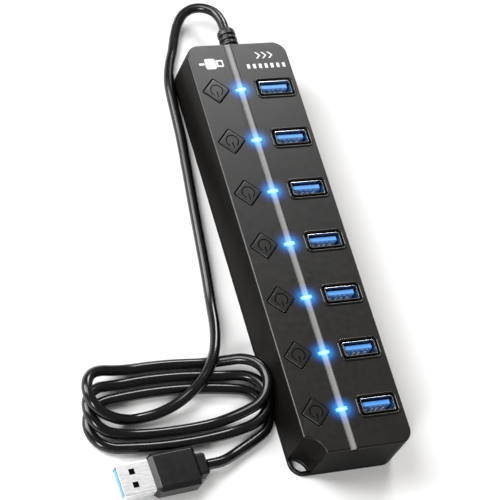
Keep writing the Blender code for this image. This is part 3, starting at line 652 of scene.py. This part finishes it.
def moulded(name, dark, light, roughness, grain=0.25 * MM, relief=0.004 * MM):
    """Makes moulded plastic or rubber: a fine grain, a slow change of tone and uneven gloss."""
    made, tree, shader = new_material(name)
    tone = noise(tree, 9 * MM, 4.0)
    tree.links.new(ramp(tree, tone, ((0.35, dark), (0.65, light))), shader.inputs["Base Color"])
    gloss = noise(tree, 2.5 * MM, 5.0)
    tree.links.new(spread(tree, gloss, roughness - 0.03, roughness + 0.04), shader.inputs["Roughness"])
    bump(tree, shader, noise(tree, grain, 2.0), relief)
    return made


def metal(name, dark, light, roughness, stretch=(1, 1, 1), relief=0.002 * MM):
    """Makes plated metal with faint lines along one way and uneven gloss."""
    made, tree, shader = new_material(name)
    shader.inputs["Metallic"].default_value = 1.0
    lines = noise(tree, 0.8 * MM, 4.0, stretch)
    tree.links.new(ramp(tree, lines, ((0.3, dark), (0.7, light))), shader.inputs["Base Color"])
    tree.links.new(spread(tree, lines, roughness - 0.05, roughness + 0.07), shader.inputs["Roughness"])
    bump(tree, shader, noise(tree, 0.35 * MM, 2.0, stretch), relief)
    return made


def painted_shade_black(name):
    """Makes the dull near-black that paints the shade in grooves and slots, which let little light out."""
    made = moulded(name, grey(0.0010), grey(0.0018), 0.85)
    made.node_tree.nodes["Principled BSDF"].inputs["Specular IOR Level"].default_value = 0.05
    return made


def make_face_material():
    """Makes the front's plastic, with a painted blue glow round each lens that the plastic itself emits in
    place of the lens's spilled light.
    """
    made = moulded("front_plastic", CASE_DARK, CASE_LIGHT, CASE_ROUGHNESS)
    shader = made.node_tree.nodes["Principled BSDF"]
    # Painted light: the face plastic emits a blue glow round each lens.
    add_painted_glow(made.node_tree, shader, FACE_PAINTED_GLOW, FACE_PAINTED_GLOW_STRENGTH, FACE_PAINTED_GLOW_FLATTEN)
    # Less shine on upright faces: painted shade on the front's sides.
    painted_side_shade(made.node_tree, shader)
    return made


def make_case_material():
    """Makes the plastic of the back cover and of the front's own solid."""
    made = moulded("case_plastic", CASE_DARK, CASE_LIGHT, CASE_ROUGHNESS)
    # Less shine on upright faces: painted shade on the cover's sides.
    painted_side_shade(made.node_tree, made.node_tree.nodes["Principled BSDF"])
    return made


def make_plug_steel_material():
    """Makes the plug's satin steel, which scatters more light than a mirror does."""
    made = metal("satin_steel", (0.86, 0.87, 0.89), (0.92, 0.93, 0.95), 0.28, (0.25, 1, 1), 0.0002 * MM)
    made.node_tree.nodes["Principled BSDF"].inputs["Metallic"].default_value = 0.6
    return made


def make_strip_material():
    """Makes the frosted grey light strip: darker at its sides, with a painted blue glow beside each lens
    that the strip itself emits.
    """
    made, tree, shader = new_material("frosted_strip")
    place = tree.nodes.new("ShaderNodeTexCoord")
    parts = tree.nodes.new("ShaderNodeSeparateXYZ")
    tree.links.new(place.outputs["Object"], parts.inputs["Vector"])
    across = arithmetic(tree, "SUBTRACT", parts.outputs["X"], LIGHT_X)
    across = arithmetic(tree, "ABSOLUTE", across, 0.0)
    cloud = arithmetic(tree, "MULTIPLY", noise(tree, 4 * MM, 3.0, (1, 0.3, 1)), STRIP_CLOUD)
    across = arithmetic(tree, "ADD", across, cloud)
    across = spread(tree, across, 0.0, 1.0, 0.0, STRIP_WIDTH / 2 + STRIP_FADE)
    tones = [(position, grey(level)) for position, level in STRIP_TONES]
    tree.links.new(ramp(tree, across, tones), shader.inputs["Base Color"])
    tree.links.new(spread(tree, noise(tree, 1.2 * MM), 0.26, 0.34), shader.inputs["Roughness"])
    bump(tree, shader, noise(tree, 0.3 * MM), 0.002 * MM)
    # Painted light: the strip emits a blue glow beside each lens.
    add_painted_glow(tree, shader, STRIP_PAINTED_GLOW, STRIP_PAINTED_GLOW_STRENGTH, 1.0)
    return made


def make_lens_material():
    """Makes the lit lens: white in the middle and cyan towards its ends."""
    made, tree, shader = new_material("lit_lens")
    place = tree.nodes.new("ShaderNodeTexCoord")
    length = tree.nodes.new("ShaderNodeVectorMath")
    length.operation = "LENGTH"
    flat = tree.nodes.new("ShaderNodeVectorMath")
    flat.operation = "MULTIPLY"
    flat.inputs[1].default_value = (1.0, 1.6, 0.0)
    tree.links.new(place.outputs["Object"], flat.inputs[0])
    tree.links.new(flat.outputs["Vector"], length.inputs[0])
    near = spread(tree, length.outputs["Value"], 0.0, 1.0, 0.0, LENS_WIDTH / 2)
    tree.links.new(ramp(tree, near, LENS_GLOW), shader.inputs["Emission Color"])
    shader.inputs["Emission Strength"].default_value = LENS_STRENGTH
    shader.inputs["Base Color"].default_value = LENS_BASE
    tree.links.new(spread(tree, noise(tree, 0.6 * MM), 0.15, 0.25), shader.inputs["Roughness"])
    return made


def make_board_material():
    """Makes green solder mask over copper tracks."""
    made, tree, shader = new_material("circuit_board")
    place = tree.nodes.new("ShaderNodeTexCoord")
    bricks = tree.nodes.new("ShaderNodeTexBrick")
    bricks.inputs["Scale"].default_value = 160.0
    bricks.inputs["Mortar Size"].default_value = 0.04
    bricks.inputs["Color1"].default_value = (0.010, 0.110, 0.040, 1)
    bricks.inputs["Color2"].default_value = (0.014, 0.150, 0.055, 1)
    bricks.inputs["Mortar"].default_value = (0.030, 0.230, 0.090, 1)
    tree.links.new(place.outputs["Object"], bricks.inputs["Vector"])
    tree.links.new(bricks.outputs["Color"], shader.inputs["Base Color"])
    tree.links.new(spread(tree, noise(tree, 2 * MM), 0.35, 0.5), shader.inputs["Roughness"])
    bump(tree, shader, bricks.outputs["Fac"], 0.03 * MM)
    return made


MATERIALS = {
    "face": make_face_material(),
    "case": make_case_material(),
    "button": moulded("button_plastic", CASE_DARK, CASE_LIGHT, 0.30, 0.2 * MM),
    "rim": moulded("rim_plastic", CASE_DARK, CASE_LIGHT, 0.22, 0.2 * MM, 0.002 * MM),
    # Painted shade in the engraved sign's groove.
    "icon_shade": painted_shade_black("icon_groove_shade"),
    "cord": moulded("cable_sheath", grey(0.0020), grey(0.0035), 0.20, 0.6 * MM, 0.004 * MM),
    "grip": moulded("plug_grip", grey(0.0035), grey(0.0055), 0.30, 0.2 * MM),
    "relief": moulded("relief_rubber", grey(0.004), grey(0.006), 0.34, 0.3 * MM),
    "steel": metal("nickel_plate", (0.50, 0.51, 0.53), (0.60, 0.61, 0.63), 0.16, (1, 1, 0.25)),
    "plug_steel": make_plug_steel_material(),
    "contact": metal("contact_plate", (0.80, 0.78, 0.70), (0.95, 0.93, 0.86), 0.18),
    "screw": metal("dark_screw", (0.10, 0.10, 0.11), (0.20, 0.20, 0.21), 0.32),
    "tongue": moulded("blue_insulator", (0.085, 0.28, 0.70), (0.11, 0.34, 0.80), 0.34, 0.2 * MM),
    # Painted shade in the slots and behind the plug's windows.
    "slot": painted_shade_black("slot_shadow"),
    "switch": moulded("switch_body", grey(0.02), grey(0.035), 0.5),
    "plunger": moulded("switch_plunger", (0.62, 0.62, 0.58), (0.75, 0.75, 0.71), 0.45),
    "chip": moulded("chip_resin", grey(0.012), grey(0.018), 0.45),
    "print": moulded("white_print", grey(0.62), grey(0.74), 0.5, 0.15 * MM),
    "board": make_board_material(),
    "strip": make_strip_material(),
    "lens": make_lens_material(),
}


# ---- Case ----


def make_front():
    """Makes the front half of the case, with the hole of every port, button, lens and strip."""
    front = plate("front_case", [bitten_outline(0)], SHELL_LOW, CASE_HEIGHT, MATERIALS["face"])
    soften(front, FACE_EDGE, 5, above(CASE_HEIGHT))
    soften(front, 0.12 * MM, 1, below(SHELL_LOW))
    inside = [bitten_outline(SIDE_WALL)]
    combine(front, plate("inside", inside, SHELL_LOW - MM, CASE_HEIGHT - FACE_WALL))
    cut_ports(front)
    cut_buttons(front)
    cut_lights(front)
    soften(front, HOLE_EDGE, 2, above(CASE_HEIGHT), 60)
    shade(front)
    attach(front, HUB)
    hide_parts("front_shell")


def cut_ports(front):
    """Cuts the shallow pocket and the mouth of every port."""
    pocket = (BEZEL_WIDTH - 2 * BEZEL_RIM, BEZEL_DEPTH - 2 * BEZEL_RIM, BEZEL_RADIUS - BEZEL_RIM)
    pockets = [rounded_rectangle(*pocket, centre) for centre in PORT_CENTRES]
    combine(front, plate("pockets", pockets, CASE_HEIGHT - BEZEL_POCKET, CASE_HEIGHT + MM))
    mouth = (RECEPTACLE_WIDTH + 2 * PORT_CLEARANCE, RECEPTACLE_DEPTH + 2 * PORT_CLEARANCE, MOUTH_RADIUS)
    mouths = [rounded_rectangle(*mouth, centre) for centre in PORT_CENTRES]
    combine(front, plate("mouths", mouths, CASE_HEIGHT - HOLE_DEPTH, CASE_HEIGHT + MM))


def cut_buttons(front):
    """Cuts the hole of every button."""
    side = BUTTON_SIDE + 2 * BUTTON_CLEARANCE
    holes = [diamond(side, BUTTON_HOLE_RADIUS, centre) for centre in BUTTON_CENTRES]
    combine(front, plate("button_holes", holes, CASE_HEIGHT - HOLE_DEPTH, CASE_HEIGHT + MM))


def lens_holes():
    """Returns the outlines of the holes round the lenses."""
    size = (LENS_WIDTH + 2 * LENS_GAP, LENS_DEPTH + 2 * LENS_GAP, LENS_HOLE_RADIUS)
    hole = rounded_rectangle(*size, steps=4)
    return [turned_outline(hole, LENS_TURN, centre) for centre in LIGHT_CENTRES]


def cut_lights(front):
    """Cuts the slot of the light strip and the hole of every lens."""
    slot_size = (STRIP_WIDTH + 2 * STRIP_SLOT_GAP, CASE_LENGTH + MM, 2 * STRIP_SLOT_DEPTH)
    combine(front, block("slot", slot_size, place=(LIGHT_X, 0, top_of("light_strip"))))
    combine(front, plate("lens_holes", lens_holes(), CASE_HEIGHT - LENS_HOLE_DEPTH, CASE_HEIGHT + MM))


def make_cover():
    """Makes the back cover with its lanyard loop, screw recesses and the lip behind the seam."""
    outline = rounded_rectangle(CASE_WIDTH, CASE_LENGTH, CORNER_RADIUS, steps=14)
    cover = plate("back_case", [outline, loop_hole_outline()], 0, BACK_WALL, MATERIALS["case"])
    soften(cover, COVER_EDGE, 3, below(0))
    corner = Vector((-CASE_WIDTH / 2, -CASE_LENGTH / 2, BACK_WALL))
    soften(cover, LOOP_EDGE, 4, lambda point: (point - corner).length < BITE_RADIUS + LOOP_WIDTH)
    lip = [bitten_outline(SEAM_DEPTH), bitten_outline(SEAM_DEPTH + LIP_WIDTH)]
    combine(cover, plate("lip", lip, BACK_WALL / 2, SHELL_LOW + 0.2 * MM), "UNION")
    for number in range(1, 5):
        place = middle(f"screw_{number}")
        recess = rod("recess", SCREW_RECESS_RADIUS, 2 * SCREW_RECESS, (0, 0, 1), (place.x, place.y, 0))
        combine(cover, recess)
    shade(cover)
    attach(cover, HUB)
    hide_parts("back_cover")


def make_rims():
    """Makes the rounded bead that surrounds each port."""
    curve = bpy.data.curves.new("rim", "CURVE")
    curve.dimensions = "3D"
    curve.bevel_depth = BEZEL_RIM / 2
    curve.bevel_resolution = 5
    path = rounded_rectangle(BEZEL_WIDTH - BEZEL_RIM, BEZEL_DEPTH - BEZEL_RIM, BEZEL_RADIUS - BEZEL_RIM / 2)
    height = CASE_HEIGHT + BEZEL_RISE - BEZEL_RIM / 2
    add_path(curve, [(x, y, height) for x, y in path], True)
    source = add("rim_path", curve)
    rim = add("rim", evaluated_mesh(source), MATERIALS["rim"])
    bpy.data.objects.remove(source, do_unlink=True)
    rim.data.shade_smooth()
    repeat(rim, "port_rim", "port_shell")


# ---- Ports ----


def make_receptacles():
    """Makes the folded steel shell of each port, with a rolled lip and pressed springs."""
    inner = (RECEPTACLE_WIDTH - 2 * SHEET, RECEPTACLE_DEPTH - 2 * SHEET)
    outlines = [
        rounded_rectangle(RECEPTACLE_WIDTH, RECEPTACLE_DEPTH, 0.75 * MM, steps=5),
        rounded_rectangle(*inner, 0.45 * MM, steps=5),
    ]
    low, high = RECEPTACLE_LOW.z, RECEPTACLE_HIGH.z
    shell = plate("steel_shell", outlines, low, high, MATERIALS["steel"])
    soften(shell, 0.1 * MM, 2, above(high))
    for side in (-1, 1):
        place = (side * SPRING_SIDE, -RECEPTACLE_DEPTH / 2, high - SPRING_DROP)
        combine(shell, block("window", SPRING_WINDOW, place=place))
        leaf = block("leaf", SPRING_LEAF, place=place)
        tilt = Matrix.Rotation(SPRING_TILT, 4, "X")
        leaf.data.transform(Matrix.Translation(place) @ tilt @ Matrix.Translation(-Vector(place)))
        combine(shell, leaf, "UNION")
    shade(shell)
    copies = repeat(shell, "port_steel", "port_shell")
    for station, copy in zip(STATIONS, copies):
        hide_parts(f"port_shell_{station}")


def make_tongues():
    """Makes each port's blue insulator, with its slots and contacts."""
    low = RECEPTACLE_LOW.z
    tip = top_of("port_tongue_1")
    back = RECEPTACLE_DEPTH / 2 - SHEET - TONGUE_BACK_GAP
    front = back - TONGUE_DEPTH
    width = RECEPTACLE_WIDTH - 2 * (SHEET + TONGUE_SIDE_GAP)
    centre_y = (front + back) / 2
    size = (width, TONGUE_DEPTH, tip - low)
    tongue = block("insulator", size, MATERIALS["tongue"], (0, centre_y, (tip + low) / 2))
    soften(tongue, TONGUE_EDGE, 3, above(tip))
    margin = 2 * TONGUE_BASE_MARGIN
    base_size = (RECEPTACLE_WIDTH - margin, RECEPTACLE_DEPTH - margin, TONGUE_BASE)
    base = block("base", base_size, place=(0, 0, low + TONGUE_BASE / 2))
    combine(tongue, base, "UNION")
    for x in FAST_CONTACT_PLACES:
        combine(tongue, block("cut", FAST_SLOT, place=(x, front, tip - FAST_SLOT_DROP)))
    for x in CONTACT_PLACES:
        combine(tongue, block("cut", CONTACT_BED, place=(x, front, tip - CONTACT_DROP)))
    shade(tongue)
    copies = repeat(tongue, "port_insulator", "port_shell")
    for station, copy in zip(STATIONS, copies):
        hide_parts(f"port_tongue_{station}")
    make_contacts(front, tip)


def make_contacts(front, tip):
    """Makes the long contacts, and dark blocks in the slots over the short fast ones, which paint the shade
    in those slots.
    """
    contacts = row_of_blocks("contacts", CONTACT_SIZE, CONTACT_PLACES, front, tip - CONTACT_DROP)
    contacts.data.materials.append(MATERIALS["contact"])
    soften(contacts, 0.06 * MM, 2, anywhere)
    shade(contacts)
    repeat(contacts, "port_contacts", "port_shell")
    # Dark blocks set inside the fast contacts' slots: painted shade.
    depth = front + FAST_SLOT_SHADE_INSET
    shade_blocks = row_of_blocks("slots", FAST_SLOT_SHADE, FAST_CONTACT_PLACES, depth, tip - FAST_SLOT_DROP)
    shade_blocks.data.materials.append(MATERIALS["slot"])
    repeat(shade_blocks, "port_slot_shades", "port_shell")


def row_of_blocks(name, size, places, y, z):
    """Makes a row of equal blocks at places along X."""
    row = block(name, size, place=(places[0], y, z))
    for x in places[1:]:
        combine(row, block("part", size, place=(x, y, z)), "UNION")
    return row


# ---- Buttons and lights ----


def make_buttons():
    """Makes the diamond caps, each with the engraved power sign."""
    high = top_of("power_button_1")
    low = CASE_HEIGHT - HOLE_DEPTH
    cap = plate("cap", [diamond(BUTTON_SIDE, BUTTON_RADIUS)], low, high, MATERIALS["button"])
    soften(cap, BUTTON_EDGE, 4, above(high))
    ring_angles = (-pi / 2 + ICON_HALF_GAP, 1.5 * pi - ICON_HALF_GAP)
    outer = arc((0, 0), ICON_RADIUS + ICON_LINE / 2, *ring_angles, 40)
    inner = arc((0, 0), ICON_RADIUS - ICON_LINE / 2, *ring_angles[::-1], 40)
    combine(cap, plate("ring", [outer + inner], high - ICON_DEPTH, high + MM))
    bar_place = (0, -ICON_RADIUS + ICON_BAR_OFFSET)
    bar = rounded_rectangle(ICON_LINE, ICON_BAR_LENGTH, 0.45 * ICON_LINE, bar_place, 3)
    combine(cap, plate("bar", [bar], high - ICON_DEPTH, high + MM))
    # The floor of the engraved sign gets the near-black: painted shade in the groove.
    cap.data.materials.append(MATERIALS["icon_shade"])
    for face in cap.data.polygons:
        in_sign = face.center.xy.length < ICON_RADIUS + ICON_LINE
        if in_sign and high - 1.1 * ICON_DEPTH < face.center.z < high - 0.1 * ICON_DEPTH:
            face.material_index = 1
    shade(cap)
    copies = repeat(cap, "button_cap", "power_button", "button_{}")
    for station, copy in zip(STATIONS, copies):
        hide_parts(f"power_button_{station}")


def make_strip():
    """Makes the frosted strip, slightly hollow across, with a hole for each lens."""
    high = top_of("light_strip")
    low_corner, high_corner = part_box("light_strip")
    length = high_corner[1] - low_corner[1]
    size = (STRIP_WIDTH, length, STRIP_THICKNESS)
    strip = block("strip", size, MATERIALS["strip"], (LIGHT_X, 0, high - STRIP_THICKNESS / 2))
    half = STRIP_WIDTH / 2 - STRIP_LAND
    radius = (half * half + STRIP_HOLLOW * STRIP_HOLLOW) / (2 * STRIP_HOLLOW)
    centre = (LIGHT_X, 0, high + radius - STRIP_HOLLOW)
    combine(strip, rod("hollow", radius, length - 2 * STRIP_END, (0, 1, 0), centre, 160))
    combine(strip, plate("lens_gaps", lens_holes(), high - HOLE_DEPTH, high + MM))
    soften(strip, STRIP_EDGE, 2, above(high), 60)
    shade(strip, 24)
    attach(strip, HUB)
    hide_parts("light_strip")


def make_lenses():
    """Makes the lit lens of every indicator."""
    high = top_of("indicator_1")
    outline = turned_outline(rounded_rectangle(LENS_WIDTH, LENS_DEPTH, LENS_RADIUS, steps=4), LENS_TURN)
    lens = plate("lens", [outline], high - LENS_THICKNESS, high, MATERIALS["lens"])
    soften(lens, LENS_EDGE, 3, above(high))
    shade(lens)
    copies = repeat(lens, "light_lens", "indicator")
    for station, copy in zip(STATIONS, copies):
        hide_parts(f"indicator_{station}")


# ---- Print ----


def make_print():
    """Prints generic pictograms beside the cable end: a plug, arrows, and a bar for each port."""
    height = CASE_HEIGHT + PRINT_LIFT
    outlines = plug_pictogram(PLUG_SIGN_PLACE)
    outlines += arrow_pictogram(ARROW_SIGN_PLACE)
    outlines += row_pictogram(ROW_SIGN_PLACE)
    print_piece = plate("printed_signs", outlines, height, height + PRINT_THICKNESS, MATERIALS["print"])
    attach(print_piece, HUB)


def plug_pictogram(centre):
    """Returns a plug on a short lead, drawn about a centre."""
    x, y = centre
    return [rounded_rectangle(*size, (x + offset, y), steps) for size, offset, steps in PLUG_SIGN]


def arrow_pictogram(centre):
    """Returns three chevrons, drawn about a centre."""
    outlines = []
    for step in (-1, 0, 1):
        back = centre[0] + step * ARROW_SIGN_STEP - ARROW_BACK
        point = back + ARROW_HALF_HEIGHT
        low, high = centre[1] - ARROW_HALF_HEIGHT, centre[1] + ARROW_HALF_HEIGHT
        left = [(back, high), (point, centre[1]), (back, low)]
        outlines.append(left + [(x + ARROW_WIDTH, y) for x, y in reversed(left)])
    return outlines


def row_pictogram(centre):
    """Returns a small upright bar for each port, drawn about a centre."""
    count = len(STATIONS)
    places = [(centre[0] + (i - (count - 1) / 2) * ROW_SIGN_STEP, centre[1]) for i in range(count)]
    return [rounded_rectangle(*ROW_BAR, place, 3) for place in places]


# ---- Cable ----


def smooth_route(points, step):
    """Returns points about a step apart on a Catmull-Rom curve through a route's own points."""
    knots = [Vector(point) * MM for point in points]
    knots = [2 * knots[0] - knots[1]] + knots + [2 * knots[-1] - knots[-2]]
    route = []
    for a, b, c, d in zip(knots, knots[1:], knots[2:], knots[3:]):
        pieces = max(1, ceil((c - b).length / step))
        for i in range(pieces):
            t = i / pieces
            bend = (2 * a - 5 * b + 4 * c - d) * t * t + (3 * b - a - 3 * c + d) * t * t * t
            route.append(b + 0.5 * ((c - a) * t + bend))
    return route + [knots[-2]]


def coil_height(along):
    """Returns how high the middle line is, where a turn's end climbs over the turns laid under it."""
    for end, (rise, reach) in enumerate(COIL_HUMPS):
        away = abs(along - end * COIL_HALF_TURN) / reach
        if away < 1:
            return COIL_REST + rise * cos(away * pi / 2) ** 2
    return COIL_REST


def half_turn(along):
    """Returns a place on half an oval: round its left end, along its side and round its right end."""
    if along < COIL_END:
        angle = along / COIL_END_RADIUS
        return COIL_END_RADIUS * (1 - cos(angle)), COIL_END_RADIUS * sin(angle)
    if along < COIL_END + COIL_SIDE:
        angle = (along - COIL_END - COIL_SIDE / 2) / COIL_SIDE_RADIUS
        x = COIL_HALF_WIDTH + COIL_SIDE_RADIUS * sin(angle)
        return x, COIL_SIDE_RADIUS * cos(angle) - COIL_SIDE_CENTRE
    angle = COIL_SIDE_ANGLE + (along - COIL_END - COIL_SIDE) / COIL_END_RADIUS
    return 2 * COIL_HALF_WIDTH - COIL_END_RADIUS * (1 - sin(angle)), COIL_END_RADIUS * cos(angle)


def coil_points():
    """Returns the points of the coil, one loose flattened turn after another."""
    steps = round(COIL_LENGTH / COIL_STEP)
    points = []
    for i in range(steps + 1):
        along = i * COIL_LENGTH / steps
        half, rest = divmod(along, COIL_HALF_TURN)
        x, y = half_turn(rest)
        if half % 2:
            x = 2 * COIL_HALF_WIDTH - x
            y = -y
        y += COIL_DRIFT * along / COIL_HALF_TURN
        points.append((COIL_LEFT[0] + x, COIL_LEFT[1] + y, coil_height(along)))
    return points


def make_cord():
    """Makes the cable from the strain relief, through the coil, to the plug."""
    points = list(LEAD_ROUTE) + list(COIL_ENTRY) + coil_points() + list(TAIL_ROUTE)
    route = smooth_route(points, CORD_STEP)
    curve = bpy.data.curves.new("cable", "CURVE")
    curve.dimensions = "3D"
    curve.bevel_depth = CORD_DIAMETER / 2
    curve.bevel_resolution = 6
    curve.use_fill_caps = True
    add_path(curve, route, False).use_smooth = True
    cable = add("cable", curve, MATERIALS["cord"])
    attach(cable, HUB)
    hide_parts("cord_lead", "cord_coil", "cord_tail")
    length = sum((b - a).length for a, b in zip(route, route[1:]))
    return cable, length


def make_relief():
    """Makes the ribbed strain relief at the cable end of the case."""
    cap_start = RELIEF_LENGTH - RELIEF_CAP
    rib_pitch = (cap_start - 0.3 * MM) / (RELIEF_RIBS + 1)
    profile = [
        (0, RELIEF_LENGTH),
        (RELIEF_TIP_RADIUS, RELIEF_LENGTH),
        (RELIEF_RADIUS, RELIEF_LENGTH - 0.45 * RELIEF_CAP),
        (RELIEF_RADIUS, cap_start),
    ]
    for rib in range(RELIEF_RIBS):
        high = cap_start - rib * rib_pitch
        low = high - RELIEF_GROOVE
        profile += [(RELIEF_NECK_RADIUS, high), (RELIEF_NECK_RADIUS, low)]
        profile += [(RELIEF_RADIUS, low), (RELIEF_RADIUS, high - rib_pitch)]
    profile += [(RELIEF_RADIUS, 0.2 * MM), (RELIEF_NECK_RADIUS, 0.2 * MM)]
    profile += [(RELIEF_NECK_RADIUS, -MM), (0, -MM)]
    points = [(radius, 0, height) for radius, height in profile]
    edges = [(i, i + 1) for i in range(len(points) - 1)]
    mesh = bpy.data.meshes.new("relief")
    mesh.from_pydata(points, edges, [])
    relief = add("cable_relief", mesh, MATERIALS["relief"])
    screw = relief.modifiers.new("Screw", "SCREW")
    screw.steps = 64
    screw.render_steps = 64
    screw.use_merge_vertices = True
    screw.merge_threshold = 0.01 * MM
    relief.data = evaluated_mesh(relief)
    relief.modifiers.clear()
    soften(relief, 0.22 * MM, 3, anywhere, 30)
    relief.data.transform(Matrix.Translation(EXIT) @ Matrix.Rotation(-pi / 2, 4, "X"))
    shade(relief, 40)
    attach(relief, HUB)
    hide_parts("strain_relief")
    return relief


# ---- Plug ----


def place_plug_piece(piece, node):
    """Moves a piece from the plug's own frame to where the plug lies."""
    piece.data.transform(Matrix.Translation(PLUG_PLACE) @ Matrix.Rotation(PLUG_HEADING, 4, "Z"))
    shade(piece)
    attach(piece, HUB)
    if node:
        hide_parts(node)
    return piece


def make_plug_shell():
    """Makes the plug's steel shell with its windows and its folded seam."""
    length = PLUG_EXPOSED + 2.0 * MM
    outlines = [
        rounded_rectangle(PLUG_WIDTH, PLUG_THICKNESS, 0.55 * MM, steps=5),
        rounded_rectangle(PLUG_WIDTH - 2 * SHEET, PLUG_THICKNESS - 2 * SHEET, 0.25 * MM, steps=5),
    ]
    shell = plate("plug_steel", outlines, 0, length, MATERIALS["plug_steel"])
    soften(shell, 0.08 * MM, 2, above(length))
    shell.data.transform(Matrix.Rotation(pi / 2, 4, "Z") @ Matrix.Rotation(pi / 2, 4, "X"))
    shell.data.transform(Matrix.Translation((-length, 0, 0)))
    for side in (-1, 1):
        for face in (-1, 1):
            place = (-PLUG_WINDOW_FROM_MOUTH, side * PLUG_WINDOW_SPACING / 2, face * PLUG_THICKNESS / 2)
            combine(shell, block("window", (PLUG_WINDOW, PLUG_WINDOW, 4 * SHEET), place=place))
    seam = block("seam", (length + MM, 0.08 * MM, 2 * SHEET), place=(-length / 2, 0, -PLUG_THICKNESS / 2))
    combine(shell, seam)
    return place_plug_piece(shell, "plug_shell")


def make_plug_window_shade():
    """Makes a dark plate under the shell's upper windows: painted shade seen through them."""
    place = (-PLUG_WINDOW_FROM_MOUTH, 0, PLUG_THICKNESS / 2 - 2 * SHEET)
    back = block("plug_window_shade", (2 * PLUG_WINDOW, PLUG_WIDTH - 4 * SHEET, 0.1 * MM), MATERIALS["slot"], place)
    return place_plug_piece(back, None)


def make_plug_insert():
    """Makes the blue insulator in the lower half of the plug's mouth."""
    size = (PLUG_EXPOSED, PLUG_WIDTH - 2 * INSERT_MARGIN, INSERT_THICKNESS)
    height = -PLUG_THICKNESS / 2 + INSERT_MARGIN + INSERT_THICKNESS / 2
    insert = block("plug_blue", size, MATERIALS["tongue"], (-INSERT_INSET - PLUG_EXPOSED / 2, 0, height))
    soften(insert, 0.12 * MM, 2, anywhere)
    return place_plug_piece(insert, "plug_insert")


def make_plug_contacts():
    """Makes the four long contacts on the insulator."""
    top = -PLUG_THICKNESS / 2 + INSERT_MARGIN + INSERT_THICKNESS
    x = -PLUG_CONTACT_FROM_MOUTH
    contacts = block("plug_contacts", PLUG_CONTACT, place=(x, CONTACT_PLACES[0], top))
    for y in CONTACT_PLACES[1:]:
        combine(contacts, block("part", PLUG_CONTACT, place=(x, y, top)), "UNION")
    contacts.data.materials.append(MATERIALS["contact"])
    return place_plug_piece(contacts, None)


def make_plug_grip():
    """Makes the faceted grip and its neck."""
    front = -PLUG_EXPOSED
    size = (GRIP_LENGTH, GRIP_WIDTH, GRIP_HEIGHT)
    grip = block("grip", size, MATERIALS["grip"], (front - GRIP_LENGTH / 2, 0, 0))
    soften(grip, GRIP_CHAMFER, 1, anywhere)
    neck_size = (2 * GRIP_NECK_LENGTH, GRIP_NECK_WIDTH, GRIP_NECK_HEIGHT)
    neck = block("neck", neck_size, place=(front - GRIP_LENGTH, 0, 0))
    soften(neck, GRIP_CHAMFER / 2, 1, anywhere)
    combine(grip, neck, "UNION")
    soften(grip, 0.22 * MM, 3, anywhere, 20)
    return place_plug_piece(grip, "plug_grip")


# ---- Camera, floor and light ----


def make_camera():
    """Places the camera on the line of sight."""
    camera = bpy.data.cameras.new("camera")
    camera.lens = LENS
    camera.sensor_width = SENSOR
    camera.clip_start = 0.01
    placed = bpy.data.objects.new("camera", camera)
    right = CAMERA_RIGHT.normalized()
    back = right.cross(CAMERA_UP).normalized()
    turn = Matrix((right, back.cross(right), back)).transposed().to_4x4()
    placed.matrix_world = Matrix.Translation(CAMERA_PLACE) @ turn
    bpy.context.scene.collection.objects.link(placed)
    bpy.context.scene.camera = placed


def make_floor():
    """Makes the plain pale floor."""
    shape = bmesh.new()
    bmesh.ops.create_grid(shape, x_segments=1, y_segments=1, size=FLOOR_HALF_SIZE)
    mesh = bpy.data.meshes.new("floor")
    shape.to_mesh(mesh)
    shape.free()
    made, tree, shader = new_material("floor_paper")
    tone = noise(tree, 0.6, 2.0)
    dark, light = FLOOR_TONES
    tree.links.new(ramp(tree, tone, ((0.3, grey(dark)), (0.7, grey(light)))), shader.inputs["Base Color"])
    shader.inputs["Roughness"].default_value = 0.9
    shader.inputs["Specular IOR Level"].default_value = 0.1
    add("floor", mesh, made)


def make_softbox(name, place, size, power):
    """Hangs a rectangular softbox that faces the middle of the hub's back."""
    light = bpy.data.lights.new(name, "AREA")
    light.shape = "RECTANGLE"
    light.size, light.size_y = size
    light.energy = power
    hung = bpy.data.objects.new(name, light)
    hung.location = place
    hung.rotation_euler = (-Vector(place)).to_track_quat("-Z", "Y").to_euler()
    bpy.context.scene.collection.objects.link(hung)


def make_world():
    """Makes the dim even room."""
    world = bpy.data.worlds.new("studio")
    world.use_nodes = True
    background = world.node_tree.nodes["Background"]
    background.inputs["Color"].default_value = ROOM_COLOUR
    background.inputs["Strength"].default_value = ROOM_STRENGTH
    bpy.context.scene.world = world
    bpy.context.scene.view_settings.view_transform = "Standard"


def make_lights():
    """Lights the room and hangs every softbox."""
    make_world()
    for softbox in SOFTBOXES:
        make_softbox(*softbox)


def dress_hidden_nodes():
    """Gives the pieces kept from the frame their finish."""
    finishes = {
        "circuit_board": "board",
        "crystal": "steel",
        "hub_controller": "chip",
        "screw": "screw",
        "indicator": "lens",
        "switch_body": "switch",
        "switch_plunger": "plunger",
    }
    for name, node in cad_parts.items():
        for start, finish in finishes.items():
            if name.startswith(start):
                for slot in node.material_slots:
                    slot.material = MATERIALS[finish]


def main():
    """Builds the scene."""
    make_camera()
    cable, cable_length = make_cord()
    relief = make_relief()
    plug = [make_plug_shell(), make_plug_window_shade(), make_plug_insert(), make_plug_contacts()]
    plug.append(make_plug_grip())
    make_front()
    make_cover()
    make_rims()
    make_receptacles()
    make_tongues()
    make_buttons()
    make_strip()
    make_lenses()
    make_print()
    dress_hidden_nodes()
    make_floor()
    make_lights()


main()
